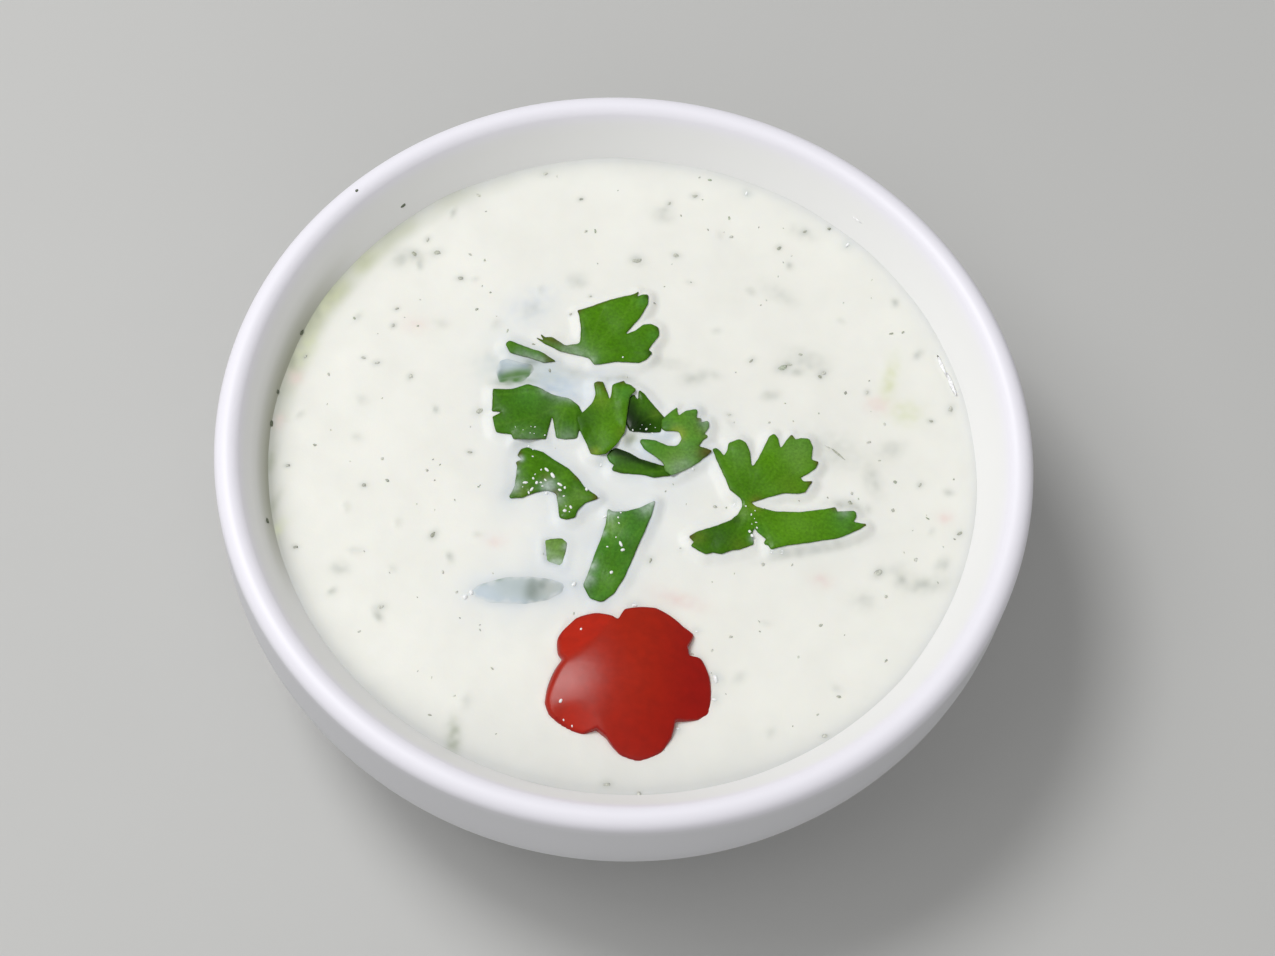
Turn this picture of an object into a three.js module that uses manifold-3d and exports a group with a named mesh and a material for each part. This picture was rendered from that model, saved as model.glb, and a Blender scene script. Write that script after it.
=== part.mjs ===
// A round white dip bowl, filled with tzatziki and dressed with chopped parsley and a
// flower cut from red pepper. Millimetres, +Z up. The origin is the middle of the bowl's
// foot on the table, and the eater sits on the -Y side.
import * as THREE from "three";
import { mergeVertices } from "three/addons/utils/BufferGeometryUtils.js";
import Module from "manifold-3d";

const wasm = await Module();
wasm.setup();

const RAD = Math.PI / 180;

// ---------------------------------------------------------------- driving dimensions

// Bowl: an upright band under the rim, a round body and a low foot ring.
const RIM_RADIUS = 60;
const BOWL_HEIGHT = 40;
const LIP_RADIUS = 2; // the lip is a half round of this radius
const WALL_LEAN = 31 * RAD; // the inner wall under the lip leans out this far
const KNEE_HEIGHT = 31; // lower down the inner wall stands nearly upright
const KNEE_ROUNDING = 5;
const WALL_FOOT_RADIUS = 49.5; // inner wall and floor, before their rounding
const FLOOR_HEIGHT = 7.5;
const FLOOR_ROUNDING = 20;
const BODY_ROUNDING = 26; // outside, from the upright band round to the foot
const FOOT_RADIUS = 31;
const FOOT_WIDTH = 4;
const FOOT_HEIGHT = 4;
const FOOT_RECESS = 1.5;
const FOOT_ROUNDING = 0.8;

// Dip: filled to this level, with slow swells, two mounds where it coats a leaf, and
// a rise where it meets the wall.
const DIP_LEVEL = 32.2;
const SWELL_HEIGHT = 0.12;
const SWELL_LENGTH = 17;
const MENISCUS_HEIGHT = 0.35;
const MENISCUS_WIDTH = 1.4;
const MOUNDS = [
  { at: [-13, 13], reach: [4.5, 1.2], height: 0.8 },
  { at: [-14, -23.2], reach: [5, 2.2], height: 0.25 },
];
const DIP_RINGS = [50.4, 48, 44, 39, 34, 29, 24.5, 20.5, 17, 13.5, 10, 6.5, 3];

// Herb flakes that show on the dip.
const FLAKE_COUNT = 44;
const FLAKE_LENGTH = [0.95, 1.9]; // shortest and longest
const FLAKE_PROUD = 0.22; // height over the dip
const FLAKE_SPACING = 5.2; // from one to the next
const FLAKE_CLEARANCE = 2; // from the garnish and the wall
const FLAKE_SEED = 20;

// Parsley: pieces of leaf, thin and a little wavy.
const LEAF_THICKNESS = 0.45;
const LEAF_WAVE = 0.16;
const LEAF_WAVE_LENGTH = 8;
const LEAF_PITCH = 3; // distance between a leaf's mesh lines

// Pepper flower: five round petals in one domed piece, pressed a little into the dip.
const FLOWER_AT = [3, -33.9];
const FLOWER_TOP = 2.8; // over the dip
const FLOWER_DOME_RADIUS = 34; // of the pepper's own curve
const FLOWER_SUNK = 1;
const FLOWER_EDGE = 0.35; // rounding of the cut edge
const FLOWER_SKIRT = 0.5; // how far the underside draws in
const FLOWER_RINGS = [0.82, 0.6, 0.36];
const PETALS = [
  { turn: 141, out: 6.7, radius: 4.6 },
  { turn: 52, out: 5.1, radius: 6.5 },
  { turn: -9, out: 8.2, radius: 5.3 },
  { turn: -67, out: 8.5, radius: 4.7 },
  { turn: -140, out: 6, radius: 5.9 },
];

const GAP = 0.3; // between any two pieces that touch
const BOWL_SEGMENTS = 60;
const FLOWER_SEGMENTS = 50;

// A rounded corner is drawn in short lines, each this close to the true arc, but not
// turning by less or more than these angles.
const ARC_CLOSENESS = 0.05;
const LEAST_ARC_TURN = 12 * RAD;
const MOST_ARC_TURN = 60 * RAD;

// Each piece of parsley lies at a place on the dip. Its corners are [x, y, rounding]
// from that place. lift is how far it clears the dip there, rise how that grows along x
// and y, and pressed says that the dip gives way to it.
const LEAVES = {
  leaf_top: {
    at: [-4, 21.5],
    lift: 0.5,
    rise: [0.03, 0.02],
    corners: [
      [-5.8, 3.0, 0.2], [-1.4, 4.6, 2], [4.6, 7.1, 0.4], [4.9, 4.8, 0.6],
      [2.1, -0.4, 0.2], [4.8, 1.8, 0.8], [6.9, 1.6, 0.6], [7.1, -0.3, 0.6],
      [5.8, -2.6, 0.1], [6.3, -3.3, 0.2], [4.8, -4.8, 0.5], [-2.5, -6.0, 0.3],
      [-3.2, -4.6, 0.4], [-7.7, -3.7, 2], [-11.7, -2.4, 0.1], [-7.6, -2.6, 2],
      [-5.0, -3.2, 0.5],
    ],
  },
  leaf_strip: {
    at: [-16, 16.4],
    lift: 0.4,
    rise: [-0.03, 0.05],
    corners: [
      [-4.0, 1.3, 0.5], [-2.9, 1.6, 0.5], [3.9, -1.0, 0.1], [2.0, -1.4, 0.4],
      [-3.6, -0.3, 0.6],
    ],
  },
  leaf_left: {
    at: [-14, 6],
    lift: 0.4,
    rise: [0, 0.02],
    corners: [
      [-6.8, 3.4, 0.3], [-1.7, 4.6, 2], [5.6, 3.1, 0.8], [6.4, 0.4, 0.8],
      [6.5, -3.2, 0.4], [3.6, -3.6, 0.3], [2.6, 0.6, 0.15], [1.8, -4.1, 0.4],
      [-3.0, -4.6, 0.8], [-5.9, -3.6, 0.6], [-6.5, -1.1, 0.3], [-5.4, -0.5, 0.1],
      [-6.9, 0.2, 0.3],
    ],
  },
  leaf_middle: {
    at: [-3.5, 7],
    lift: 0.6,
    rise: [0.02, 0],
    corners: [
      [-2.5, 5.0, 0.4], [-1.4, 5.1, 0.2], [0.1, 4.5, 0.2], [2.1, 6.1, 0.4],
      [3.6, 5.2, 0.5], [3.1, -1.0, 3], [2.6, -4.0, 1.5], [0.5, -6.3, 0.6],
      [-1.6, -6.6, 0.6], [-3.2, -2.0, 2], [-3.1, 1.0, 1.5],
    ],
  },
  leaf_dark: {
    at: [2.5, 8.3],
    lift: 0.45,
    rise: [0, 0.04],
    corners: [
      [-1.5, 3.7, 0.3], [2.2, -0.6, 0.6], [2.0, -2.6, 0.3], [-2.0, -3.4, 0.3],
      [-1.9, 0.7, 1],
    ],
  },
  leaf_toothed: {
    at: [8.5, 4.5],
    lift: 0.6,
    rise: [0.02, 0.03],
    corners: [
      [-3.1, 2.9, 0.2], [-2.2, 5.1, 0.3], [-1.3, 4.3, 0.1], [-0.3, 5.5, 0.3],
      [1.4, 5.3, 0.3], [1.6, 4.1, 0.1], [3.0, 3.9, 0.3], [2.7, 2.9, 0.1],
      [3.8, 2.7, 0.3], [3.1, 0.7, 0.8], [2.5, -1.4, 0.4], [3.7, -2.1, 0.2],
      [1.4, -4.9, 0.8], [-1.3, -6.0, 0.6], [-4.1, -3.8, 1.5], [-6.6, -1.0, 0.3],
      [-4.3, -1.0, 1], [-0.7, -1.6, 0.6], [-0.3, -0.1, 0.6], [-1.1, 1.1, 0.4],
    ],
  },
  leaf_tucked: {
    at: [1.5, -0.4],
    lift: 0.35,
    rise: [0, 0.05],
    corners: [
      [-3.7, 1.3, 0.4], [-2.3, 1.7, 0.4], [2.4, 0.6, 1], [4.9, -1.4, 0.2],
      [2.9, -1.9, 0.5], [-3.4, -1.3, 0.6],
    ],
  },
  leaf_wet: {
    at: [-10, -5],
    lift: 0,
    rise: [0.05, -0.01],
    pressed: true,
    corners: [
      [-5.3, 5.1, 0.4], [-4.0, 5.4, 0.6], [1.3, 2.7, 5], [6.5, -1.7, 0.2],
      [4.0, -3.9, 0.8], [3.1, -5.8, 0.6], [1.3, -5.8, 0.5], [0.7, -3.6, 0.6],
      [-0.2, -1.5, 0.8], [-6.1, -3.0, 0.3], [-5.6, 1.0, 1.5],
    ],
  },
  leaf_square: {
    at: [-8.8, -16.3],
    lift: -0.4,
    rise: [0.02, 0.06],
    pressed: true,
    corners: [
      [-1.8, 1.8, 0.3], [1.6, 2.1, 0.3], [1.8, -2.2, 0.6], [-1.4, -1.5, 0.5],
    ],
  },
  leaf_long: {
    at: [-0.5, -15],
    lift: 0.05,
    rise: [0.05, 0.02],
    pressed: true,
    corners: [
      [-1.2, 6.9, 0.2], [2.1, 6.6, 1.5], [5.6, 8.8, 0.1], [2.9, -1.3, 6],
      [0, -7.8, 0.9], [-2.7, -7.9, 0.9], [-3.5, -5.0, 1], [-2.6, -2.0, 2],
      [-1.5, 3.0, 3],
    ],
  },
  leaf_sunk: {
    at: [-14, -23.2],
    lift: -0.5,
    rise: [0, 0.03],
    pressed: true,
    corners: [
      [-6.0, -1.2, 0.5], [-5.1, 0.8, 0.6], [-1.4, 2.3, 2], [4.9, 2.6, 0.8],
      [5.5, -0.4, 1], [1.3, -2.3, 2], [-4.4, -2.7, 0.8],
    ],
  },
  leaf_large: {
    at: [20, -1.5],
    lift: 0.6,
    rise: [0.01, 0.01],
    corners: [
      // the three-lobed upper part
      [-7.0, 4.9, 0.2], [-5.1, 6.5, 0.5], [-3.0, 7.1, 0.8], [-2.0, 4.7, 0.8],
      [-1.1, 2.6, 0.3], [0.3, 6.3, 1.5], [1.9, 8.7, 0.3], [2.9, 6.1, 0.2],
      [4.1, 7.9, 0.6], [5.2, 8.9, 0.4], [7.4, 8.3, 0.8], [7.6, 5.9, 0.6],
      [8.7, 4.6, 0.3], [6.4, 1.8, 0.2], [8.1, 1.4, 0.2], [6.9, -0.6, 0.6],
      [0.5, -2.7, 0.6], [-0.5, -3.4, 0.2],
      // the long part on the right
      [2.9, -4.1, 1], [6.5, -3.7, 2], [11.1, -2.8, 1], [14.5, -2.8, 0.4],
      [14.9, -4.0, 0.2], [16.4, -4.7, 0.3], [13.8, -6.4, 0.8], [6.9, -8.8, 3],
      [2.7, -10.3, 0.6], [1.4, -9.4, 0.4], [0.4, -7.8, 0.3],
      // the short part on the left, and back to the neck
      [-0.4, -10.2, 0.5], [-4.6, -12.1, 0.7], [-6.7, -12.1, 0.6], [-9.3, -9.4, 0.3],
      [-4.6, -7.1, 2], [-2.7, -5.6, 0.8], [-1.9, -3.7, 0.4], [-3.9, -1.7, 1],
      [-5.5, 1.8, 2],
    ],
  },
};

// --------------------------------------------------------------------------- materials

const glaze = new THREE.MeshStandardMaterial({ color: "#f1f2f5", roughness: 0.12 });
const yogurt = new THREE.MeshStandardMaterial({ color: "#f0f0e4", roughness: 0.35 });
const pepper = new THREE.MeshStandardMaterial({ color: "#a81c0c", roughness: 0.2 });
const parsley = new THREE.MeshStandardMaterial({ color: "#3f7d18", roughness: 0.45 });
const coatedParsley = new THREE.MeshStandardMaterial({ color: "#b4bfbf", roughness: 0.4 });

// ------------------------------------------------------------------- geometry, helpers

// A closed geometry as a solid that can be cut and joined.
function solid(geometry) {
  const bare = geometry.clone();
  bare.deleteAttribute("normal");
  bare.deleteAttribute("uv");
  const merged = mergeVertices(bare);
  const triVerts = new Uint32Array(merged.index.array);
  const vertProperties = merged.attributes.position.array;
  return new wasm.Manifold(new wasm.Mesh({ numProp: 3, vertProperties, triVerts }));
}

// The geometry of a solid.
function shell(body) {
  const { vertProperties, triVerts } = body.getMesh();
  const geometry = new THREE.BufferGeometry();
  geometry.setAttribute("position", new THREE.BufferAttribute(vertProperties, 3));
  geometry.setIndex(new THREE.BufferAttribute(triVerts, 1));
  geometry.computeVertexNormals();
  return geometry;
}

// The turn of each short line along an arc.
function arcTurn(radius) {
  const closeEnough = 2 * Math.acos(Math.max(0, 1 - ARC_CLOSENESS / radius));
  return THREE.MathUtils.clamp(closeEnough, LEAST_ARC_TURN, MOST_ARC_TURN);
}

// The points of a line through corners [x, y, rounding], each rounded by an arc that
// touches both of its sides. A closed line also rounds its first and last corners.
function rounded(corners, closed) {
  const count = corners.length;
  const points = [];
  corners.forEach(([x, y, rounding = 0], i) => {
    const corner = new THREE.Vector2(x, y);
    const isEnd = !closed && (i === 0 || i === count - 1);
    if (rounding === 0 || isEnd) {
      points.push(corner);
      return;
    }
    const before = new THREE.Vector2(...corners[(i + count - 1) % count]).sub(corner);
    const after = new THREE.Vector2(...corners[(i + 1) % count]).sub(corner);
    const opening = Math.acos(before.dot(after) / (before.length() * after.length()));
    const turn = Math.PI - opening;
    const room = 0.48 * Math.min(before.length(), after.length());
    const reach = Math.min(rounding * Math.tan(turn / 2), closed ? room : 2 * room);
    const radius = reach / Math.tan(turn / 2);
    const inward = before.clone().normalize().add(after.clone().normalize()).normalize();
    const middle = corner.clone().addScaledVector(inward, radius / Math.cos(turn / 2));
    const start = corner.clone().addScaledVector(before.normalize(), reach).sub(middle);
    const side = Math.sign(before.cross(after));
    const steps = Math.max(1, Math.round(turn / arcTurn(radius)));
    for (let step = 0; step <= steps; step++) {
      const spoke = start.clone().rotateAround(new THREE.Vector2(), -side * turn * (step / steps));
      points.push(spoke.add(middle));
    }
  });
  return points;
}

// A closed solid of rings about +Z, from the middle of its underside, out and up, to
// the middle of its top. Each ring gives a point [x, y, z] for an angle.
function ringed(lowMiddle, rings, topMiddle, segments) {
  const position = [...lowMiddle];
  for (const ring of rings) {
    for (let i = 0; i < segments; i++) {
      position.push(...ring((2 * Math.PI * i) / segments));
    }
  }
  position.push(...topMiddle);
  const at = (ring, i) => 1 + ring * segments + (i % segments);
  const top = 1 + rings.length * segments;
  const index = [];
  for (let i = 0; i < segments; i++) {
    index.push(0, at(0, i + 1), at(0, i));
    for (let ring = 0; ring + 1 < rings.length; ring++) {
      const low = [at(ring, i), at(ring, i + 1)];
      const high = [at(ring + 1, i), at(ring + 1, i + 1)];
      index.push(low[0], low[1], high[1], low[0], high[1], high[0]);
    }
    index.push(top, at(rings.length - 1, i), at(rings.length - 1, i + 1));
  }
  const geometry = new THREE.BufferGeometry();
  geometry.setAttribute("position", new THREE.Float32BufferAttribute(position, 3));
  geometry.setIndex(index);
  return geometry;
}

// A plain ring at a radius and a height.
function ringAt(radius, z) {
  return (angle) => [radius * Math.cos(angle), radius * Math.sin(angle), z];
}

// A closed slab over a rectangle, between two heights given as functions of x and y.
// Its upper and lower faces are split into triangles alike.
function slab(box, pitch, lowAt, highAt) {
  const size = box.getSize(new THREE.Vector2());
  const columns = Math.max(1, Math.round(size.x / pitch));
  const rows = Math.max(1, Math.round(size.y / pitch));
  const position = [];
  for (const heightAt of [lowAt, highAt]) {
    for (let row = 0; row <= rows; row++) {
      for (let column = 0; column <= columns; column++) {
        const x = box.min.x + (size.x * column) / columns;
        const y = box.min.y + (size.y * row) / rows;
        position.push(x, y, heightAt(x, y));
      }
    }
  }
  const layer = (columns + 1) * (rows + 1);
  const at = (column, row, isHigh) => (isHigh ? layer : 0) + row * (columns + 1) + column;
  const index = [];
  const quad = (a, b, c, d) => index.push(a, b, c, a, c, d);
  for (let row = 0; row < rows; row++) {
    for (let column = 0; column < columns; column++) {
      const around = [[column, row], [column + 1, row], [column + 1, row + 1], [column, row + 1]];
      quad(...around.map(([c, r]) => at(c, r, true)));
      const [a, b, c, d] = around.map(([i, j]) => at(i, j, false));
      index.push(a, c, b, a, d, c);
    }
  }
  for (let column = 0; column < columns; column++) {
    quad(at(column, 0), at(column + 1, 0), at(column + 1, 0, true), at(column, 0, true));
    quad(at(column + 1, rows), at(column, rows), at(column, rows, true), at(column + 1, rows, true));
  }
  for (let row = 0; row < rows; row++) {
    quad(at(columns, row), at(columns, row + 1), at(columns, row + 1, true), at(columns, row, true));
    quad(at(0, row + 1), at(0, row), at(0, row, true), at(0, row + 1, true));
  }
  const geometry = new THREE.BufferGeometry();
  geometry.setAttribute("position", new THREE.Float32BufferAttribute(position, 3));
  geometry.setIndex(index);
  return geometry;
}

// An outline moved outwards all round, for one without narrow notches.
function grown(points, distance) {
  const outwards = THREE.ShapeUtils.isClockWise(points) ? -1 : 1;
  return points.map((point, i) => {
    const before = points[(i + points.length - 1) % points.length];
    const after = points[(i + 1) % points.length];
    const along = after.clone().sub(before).normalize();
    const outward = new THREE.Vector2(along.y, -along.x).multiplyScalar(outwards);
    return point.clone().addScaledVector(outward, distance);
  });
}

// Random numbers from 0 to 1, the same on each run.
function dice(seed) {
  let state = seed;
  return () => {
    state = (state * 1664525 + 1013904223) % 4294967296;
    return state / 4294967296;
  };
}

// -------------------------------------------------------------------------------- bowl

// Where the lip's flat top would end, if it weren't rounded, and the leaning wall starts.
const LIP_CORNER = RIM_RADIUS - LIP_RADIUS * (1 + Math.tan((Math.PI / 2 - WALL_LEAN) / 2));

// The radius of the leaning part of the inner wall at a height.
function leaningWallRadius(z) {
  return LIP_CORNER - (BOWL_HEIGHT - z) * Math.tan(WALL_LEAN);
}

function bowlGeometry() {
  const footInside = FOOT_RADIUS - FOOT_WIDTH;
  const profile = rounded([
    [0, FOOT_RECESS],
    [footInside, FOOT_RECESS, FOOT_ROUNDING / 2],
    [footInside, 0, FOOT_ROUNDING],
    [FOOT_RADIUS, 0, FOOT_ROUNDING],
    [FOOT_RADIUS + FOOT_ROUNDING, FOOT_HEIGHT, FOOT_ROUNDING],
    [RIM_RADIUS, FOOT_HEIGHT, BODY_ROUNDING],
    [RIM_RADIUS, BOWL_HEIGHT, LIP_RADIUS],
    [LIP_CORNER, BOWL_HEIGHT, LIP_RADIUS],
    [leaningWallRadius(KNEE_HEIGHT), KNEE_HEIGHT, KNEE_ROUNDING],
    [WALL_FOOT_RADIUS, FLOOR_HEIGHT, FLOOR_ROUNDING],
    [0, FLOOR_HEIGHT],
  ], false);
  const rings = profile.slice(1, -1).map(({ x, y }) => ringAt(x, y));
  return ringed([0, 0, FOOT_RECESS], rings, [0, 0, FLOOR_HEIGHT], BOWL_SEGMENTS);
}

// ------------------------------------------------------------------------------ flower

// The flower's outline: at each angle, the petal that reaches furthest.
function flowerReach(angle) {
  const reaches = PETALS.map(({ turn, out, radius }) => {
    const away = angle - turn * RAD;
    const acrossPetal = out * Math.sin(away);
    if (Math.cos(away) < 0 || Math.abs(acrossPetal) > radius) {
      return 0;
    }
    return out * Math.cos(away) + Math.sqrt(radius ** 2 - acrossPetal ** 2);
  });
  return Math.max(...reaches);
}

// The height of the pepper's skin, at a distance from the flower's middle.
function flowerSkin(distance) {
  return FLOWER_TOP - distance ** 2 / (2 * FLOWER_DOME_RADIUS);
}

// The flower about its own middle, with z = 0 at the dip's level.
function flowerGeometry() {
  const ring = (radiusAt, heightAt) => (angle) => {
    const radius = radiusAt(flowerReach(angle));
    return [radius * Math.cos(angle), radius * Math.sin(angle), heightAt(radius)];
  };
  const rings = [
    ring((reach) => reach - FLOWER_SKIRT, () => -FLOWER_SUNK),
    ring((reach) => reach, () => -FLOWER_SUNK + FLOWER_SKIRT),
    ring((reach) => reach, (radius) => flowerSkin(radius) - FLOWER_EDGE),
    ring((reach) => reach - FLOWER_EDGE, flowerSkin),
    ...FLOWER_RINGS.map((share) => ring((reach) => reach * share, flowerSkin)),
  ];
  return ringed([0, 0, -FLOWER_SUNK], rings, [0, 0, FLOWER_TOP], FLOWER_SEGMENTS);
}

// The hollow that the flower presses into the dip.
function flowerHollow() {
  const ring = (z) => (angle) => {
    const radius = flowerReach(angle) + GAP;
    return [radius * Math.cos(angle), radius * Math.sin(angle), z];
  };
  const low = -FLOWER_SUNK - GAP;
  const rings = [ring(low), ring(FLOWER_TOP)];
  return ringed([0, 0, low], rings, [0, 0, FLOWER_TOP], FLOWER_SEGMENTS);
}

// ----------------------------------------------------------------------------- parsley

// The height of a leaf's underside over the dip's level.
function leafUnderside({ at, lift, rise }, x, y) {
  const turn = (2 * Math.PI) / LEAF_WAVE_LENGTH;
  const wave = 1 + Math.sin(x * turn + at[0]) * Math.cos(y * turn + at[1]);
  const bed = dipSurface(x + at[0], y + at[1]) - DIP_LEVEL;
  return bed + lift + rise[0] * x + rise[1] * y + LEAF_WAVE * wave;
}

// A piece of parsley about its own place, between two sheets that are this far below
// its underside and above its upper side, with its outline moved outwards by grow.
function leafSolid(leaf, { below = 0, above = 0, grow = 0 } = {}) {
  const outline = rounded(leaf.corners, true);
  const points = grow > 0 ? grown(outline, grow) : outline;
  const box = new THREE.Box2().setFromPoints(points).expandByScalar(1);
  const low = (x, y) => leafUnderside(leaf, x, y) - below;
  const high = (x, y) => leafUnderside(leaf, x, y) + LEAF_THICKNESS + above;
  const sheet = solid(slab(box, LEAF_PITCH, low, high));
  const depth = 20;
  const column = new THREE.ExtrudeGeometry(new THREE.Shape(points), { depth, bevelEnabled: false });
  column.translate(0, 0, -depth / 2);
  return sheet.intersect(solid(column));
}

// --------------------------------------------------------------------------------- dip

// The height of the dip's surface at a place.
function dipSurface(x, y) {
  const turn = (2 * Math.PI) / SWELL_LENGTH;
  const swell = Math.sin(x * turn + 1) * Math.cos(y * turn * 0.8) + Math.sin((x + y) * turn * 0.5);
  const edge = leaningWallRadius(DIP_LEVEL) - Math.hypot(x, y);
  const meniscus = MENISCUS_HEIGHT * Math.exp(-Math.max(edge, 0) / MENISCUS_WIDTH);
  const mounds = MOUNDS.map(({ at, reach, height }) => {
    const dx = (x - at[0]) / reach[0];
    const dy = (y - at[1]) / reach[1];
    return height * Math.exp(-(dx * dx + dy * dy) / 2);
  });
  return DIP_LEVEL + 0.5 * SWELL_HEIGHT * swell + meniscus + mounds.reduce((a, b) => a + b, 0);
}

// The filling, with a gap to the bowl all over.
function dipBody() {
  const side = rounded([
    [0, FLOOR_HEIGHT + GAP],
    [WALL_FOOT_RADIUS - GAP, FLOOR_HEIGHT + GAP, FLOOR_ROUNDING - GAP],
    [leaningWallRadius(KNEE_HEIGHT) - GAP, KNEE_HEIGHT, KNEE_ROUNDING],
    [leaningWallRadius(DIP_LEVEL) - GAP / Math.cos(WALL_LEAN), DIP_LEVEL],
  ], false);
  const surfaceRing = (radius) => (angle) => {
    const x = radius * Math.cos(angle);
    const y = radius * Math.sin(angle);
    return [x, y, dipSurface(x, y)];
  };
  const rings = [
    ...side.slice(1).map(({ x, y }) => ringAt(x, y)),
    ...DIP_RINGS.map(surfaceRing),
  ];
  const low = [0, 0, FLOOR_HEIGHT + GAP];
  return solid(ringed(low, rings, [0, 0, dipSurface(0, 0)], BOWL_SEGMENTS));
}

// The garnish seen from above, as outlines in the bowl's frame.
function garnishOutlines() {
  const outlines = Object.values(LEAVES).map(({ at, corners }) =>
    corners.map(([x, y]) => new THREE.Vector2(x + at[0], y + at[1])),
  );
  const flower = Array.from({ length: FLOWER_SEGMENTS }, (_, i) => {
    const angle = (2 * Math.PI * i) / FLOWER_SEGMENTS;
    return new THREE.Vector2(...FLOWER_AT).add(
      new THREE.Vector2(flowerReach(angle), 0).rotateAround(new THREE.Vector2(), angle),
    );
  });
  return [...outlines, flower];
}

// The distance from a place to an outline's side, or 0 inside the outline.
function distanceTo(outline, place) {
  const nearest = new THREE.Vector3();
  let least = Infinity;
  let isInside = false;
  outline.forEach((end, i) => {
    const start = outline[(i + outline.length - 1) % outline.length];
    const side = new THREE.Line3(
      new THREE.Vector3(start.x, start.y),
      new THREE.Vector3(end.x, end.y),
    );
    side.closestPointToPoint(new THREE.Vector3(place.x, place.y), true, nearest);
    least = Math.min(least, Math.hypot(nearest.x - place.x, nearest.y - place.y));
    const crosses = start.y > place.y !== end.y > place.y;
    const crossingX = start.x + ((place.y - start.y) * (end.x - start.x)) / (end.y - start.y);
    if (crosses && place.x < crossingX) {
      isInside = !isInside;
    }
  });
  return isInside ? 0 : least;
}

// Flakes of herb, largest first, spread over the open dip.
function herbFlakes() {
  const next = dice(FLAKE_SEED);
  const outlines = garnishOutlines();
  const openRadius = leaningWallRadius(DIP_LEVEL) - FLAKE_CLEARANCE;
  const places = [];
  while (places.length < FLAKE_COUNT) {
    const distance = openRadius * Math.sqrt(next());
    const angle = 2 * Math.PI * next();
    const place = new THREE.Vector2(distance, 0).rotateAround(new THREE.Vector2(), angle);
    const isFree = places.every((other) => other.distanceTo(place) > FLAKE_SPACING);
    if (isFree && outlines.every((outline) => distanceTo(outline, place) > FLAKE_CLEARANCE)) {
      places.push(place);
    }
  }
  return places.map((place, i) => {
    const [shortest, longest] = FLAKE_LENGTH;
    const length = longest - (longest - shortest) * (i / FLAKE_COUNT) ** 0.5;
    const flake = new THREE.IcosahedronGeometry(1, 0);
    flake.scale(length / 2, (length / 2) * (0.45 + 0.4 * next()), 2 * FLAKE_PROUD);
    flake.rotateZ(Math.PI * next());
    flake.translate(place.x, place.y, dipSurface(place.x, place.y) - FLAKE_PROUD);
    return solid(flake);
  });
}

function dipSolid() {
  const hollows = Object.values(LEAVES)
    .filter(({ pressed }) => pressed)
    .map((leaf) => {
      const room = leafSolid(leaf, { below: GAP, above: FLOWER_TOP, grow: GAP });
      return room.translate([leaf.at[0], leaf.at[1], DIP_LEVEL]);
    });
  hollows.push(solid(flowerHollow()).translate([...FLOWER_AT, DIP_LEVEL]));
  const withFlakes = herbFlakes().reduce((body, flake) => body.add(flake), dipBody());
  return hollows.reduce((body, hollow) => body.subtract(hollow), withFlakes);
}

// --------------------------------------------------------------------------- the object

const part = new THREE.Group();

function addMesh(name, geometry, material, place = [0, 0, 0]) {
  const mesh = new THREE.Mesh(geometry, material);
  mesh.name = name;
  mesh.position.set(...place);
  part.add(mesh);
}

addMesh("bowl", bowlGeometry(), glaze);
addMesh("dip", shell(dipSolid()), yogurt);
addMesh("pepper_flower", flowerGeometry(), pepper, [...FLOWER_AT, DIP_LEVEL]);
for (const [name, leaf] of Object.entries(LEAVES)) {
  const material = name === "leaf_sunk" ? coatedParsley : parsley;
  addMesh(name, shell(leafSolid(leaf)), material, [...leaf.at, DIP_LEVEL]);
}

export default part;
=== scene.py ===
"""The looks of a bowl of tzatziki: white glazed bowl, herb-flecked dip, parsley, pepper flower.

Sizes are millimetres in the part's own frame (origin on the table under the bowl, +Z up,
the eater on the -Y side), and become metres where a mesh is made. Turns in tables are degrees.
"""

import math

import bpy
import numpy as np
from mathutils import Matrix, Quaternion, Vector, noise
from mathutils.geometry import delaunay_2d_cdt


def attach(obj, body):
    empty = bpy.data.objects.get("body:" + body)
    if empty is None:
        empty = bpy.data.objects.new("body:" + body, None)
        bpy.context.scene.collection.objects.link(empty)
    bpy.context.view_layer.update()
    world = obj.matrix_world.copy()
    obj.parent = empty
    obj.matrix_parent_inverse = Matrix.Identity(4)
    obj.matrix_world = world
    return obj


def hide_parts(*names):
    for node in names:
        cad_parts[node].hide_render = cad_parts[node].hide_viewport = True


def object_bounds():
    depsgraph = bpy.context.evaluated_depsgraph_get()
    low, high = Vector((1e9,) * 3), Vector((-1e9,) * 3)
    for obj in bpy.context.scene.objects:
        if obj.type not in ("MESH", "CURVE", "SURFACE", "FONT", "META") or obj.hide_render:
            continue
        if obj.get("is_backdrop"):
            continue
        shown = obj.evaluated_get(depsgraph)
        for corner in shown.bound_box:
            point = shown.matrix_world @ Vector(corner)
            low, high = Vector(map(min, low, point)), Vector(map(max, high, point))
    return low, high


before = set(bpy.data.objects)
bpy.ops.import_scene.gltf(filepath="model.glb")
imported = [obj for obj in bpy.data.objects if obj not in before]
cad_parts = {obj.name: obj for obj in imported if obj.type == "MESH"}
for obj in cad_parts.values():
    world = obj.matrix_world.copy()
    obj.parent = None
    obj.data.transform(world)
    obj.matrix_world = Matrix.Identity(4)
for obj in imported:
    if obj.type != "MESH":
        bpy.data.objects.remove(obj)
cad_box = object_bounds()

MM = 0.001
RAD = math.pi / 180
TURN = 2 * math.pi

# ---------------------------------------------------------------- the part's dimensions

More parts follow.
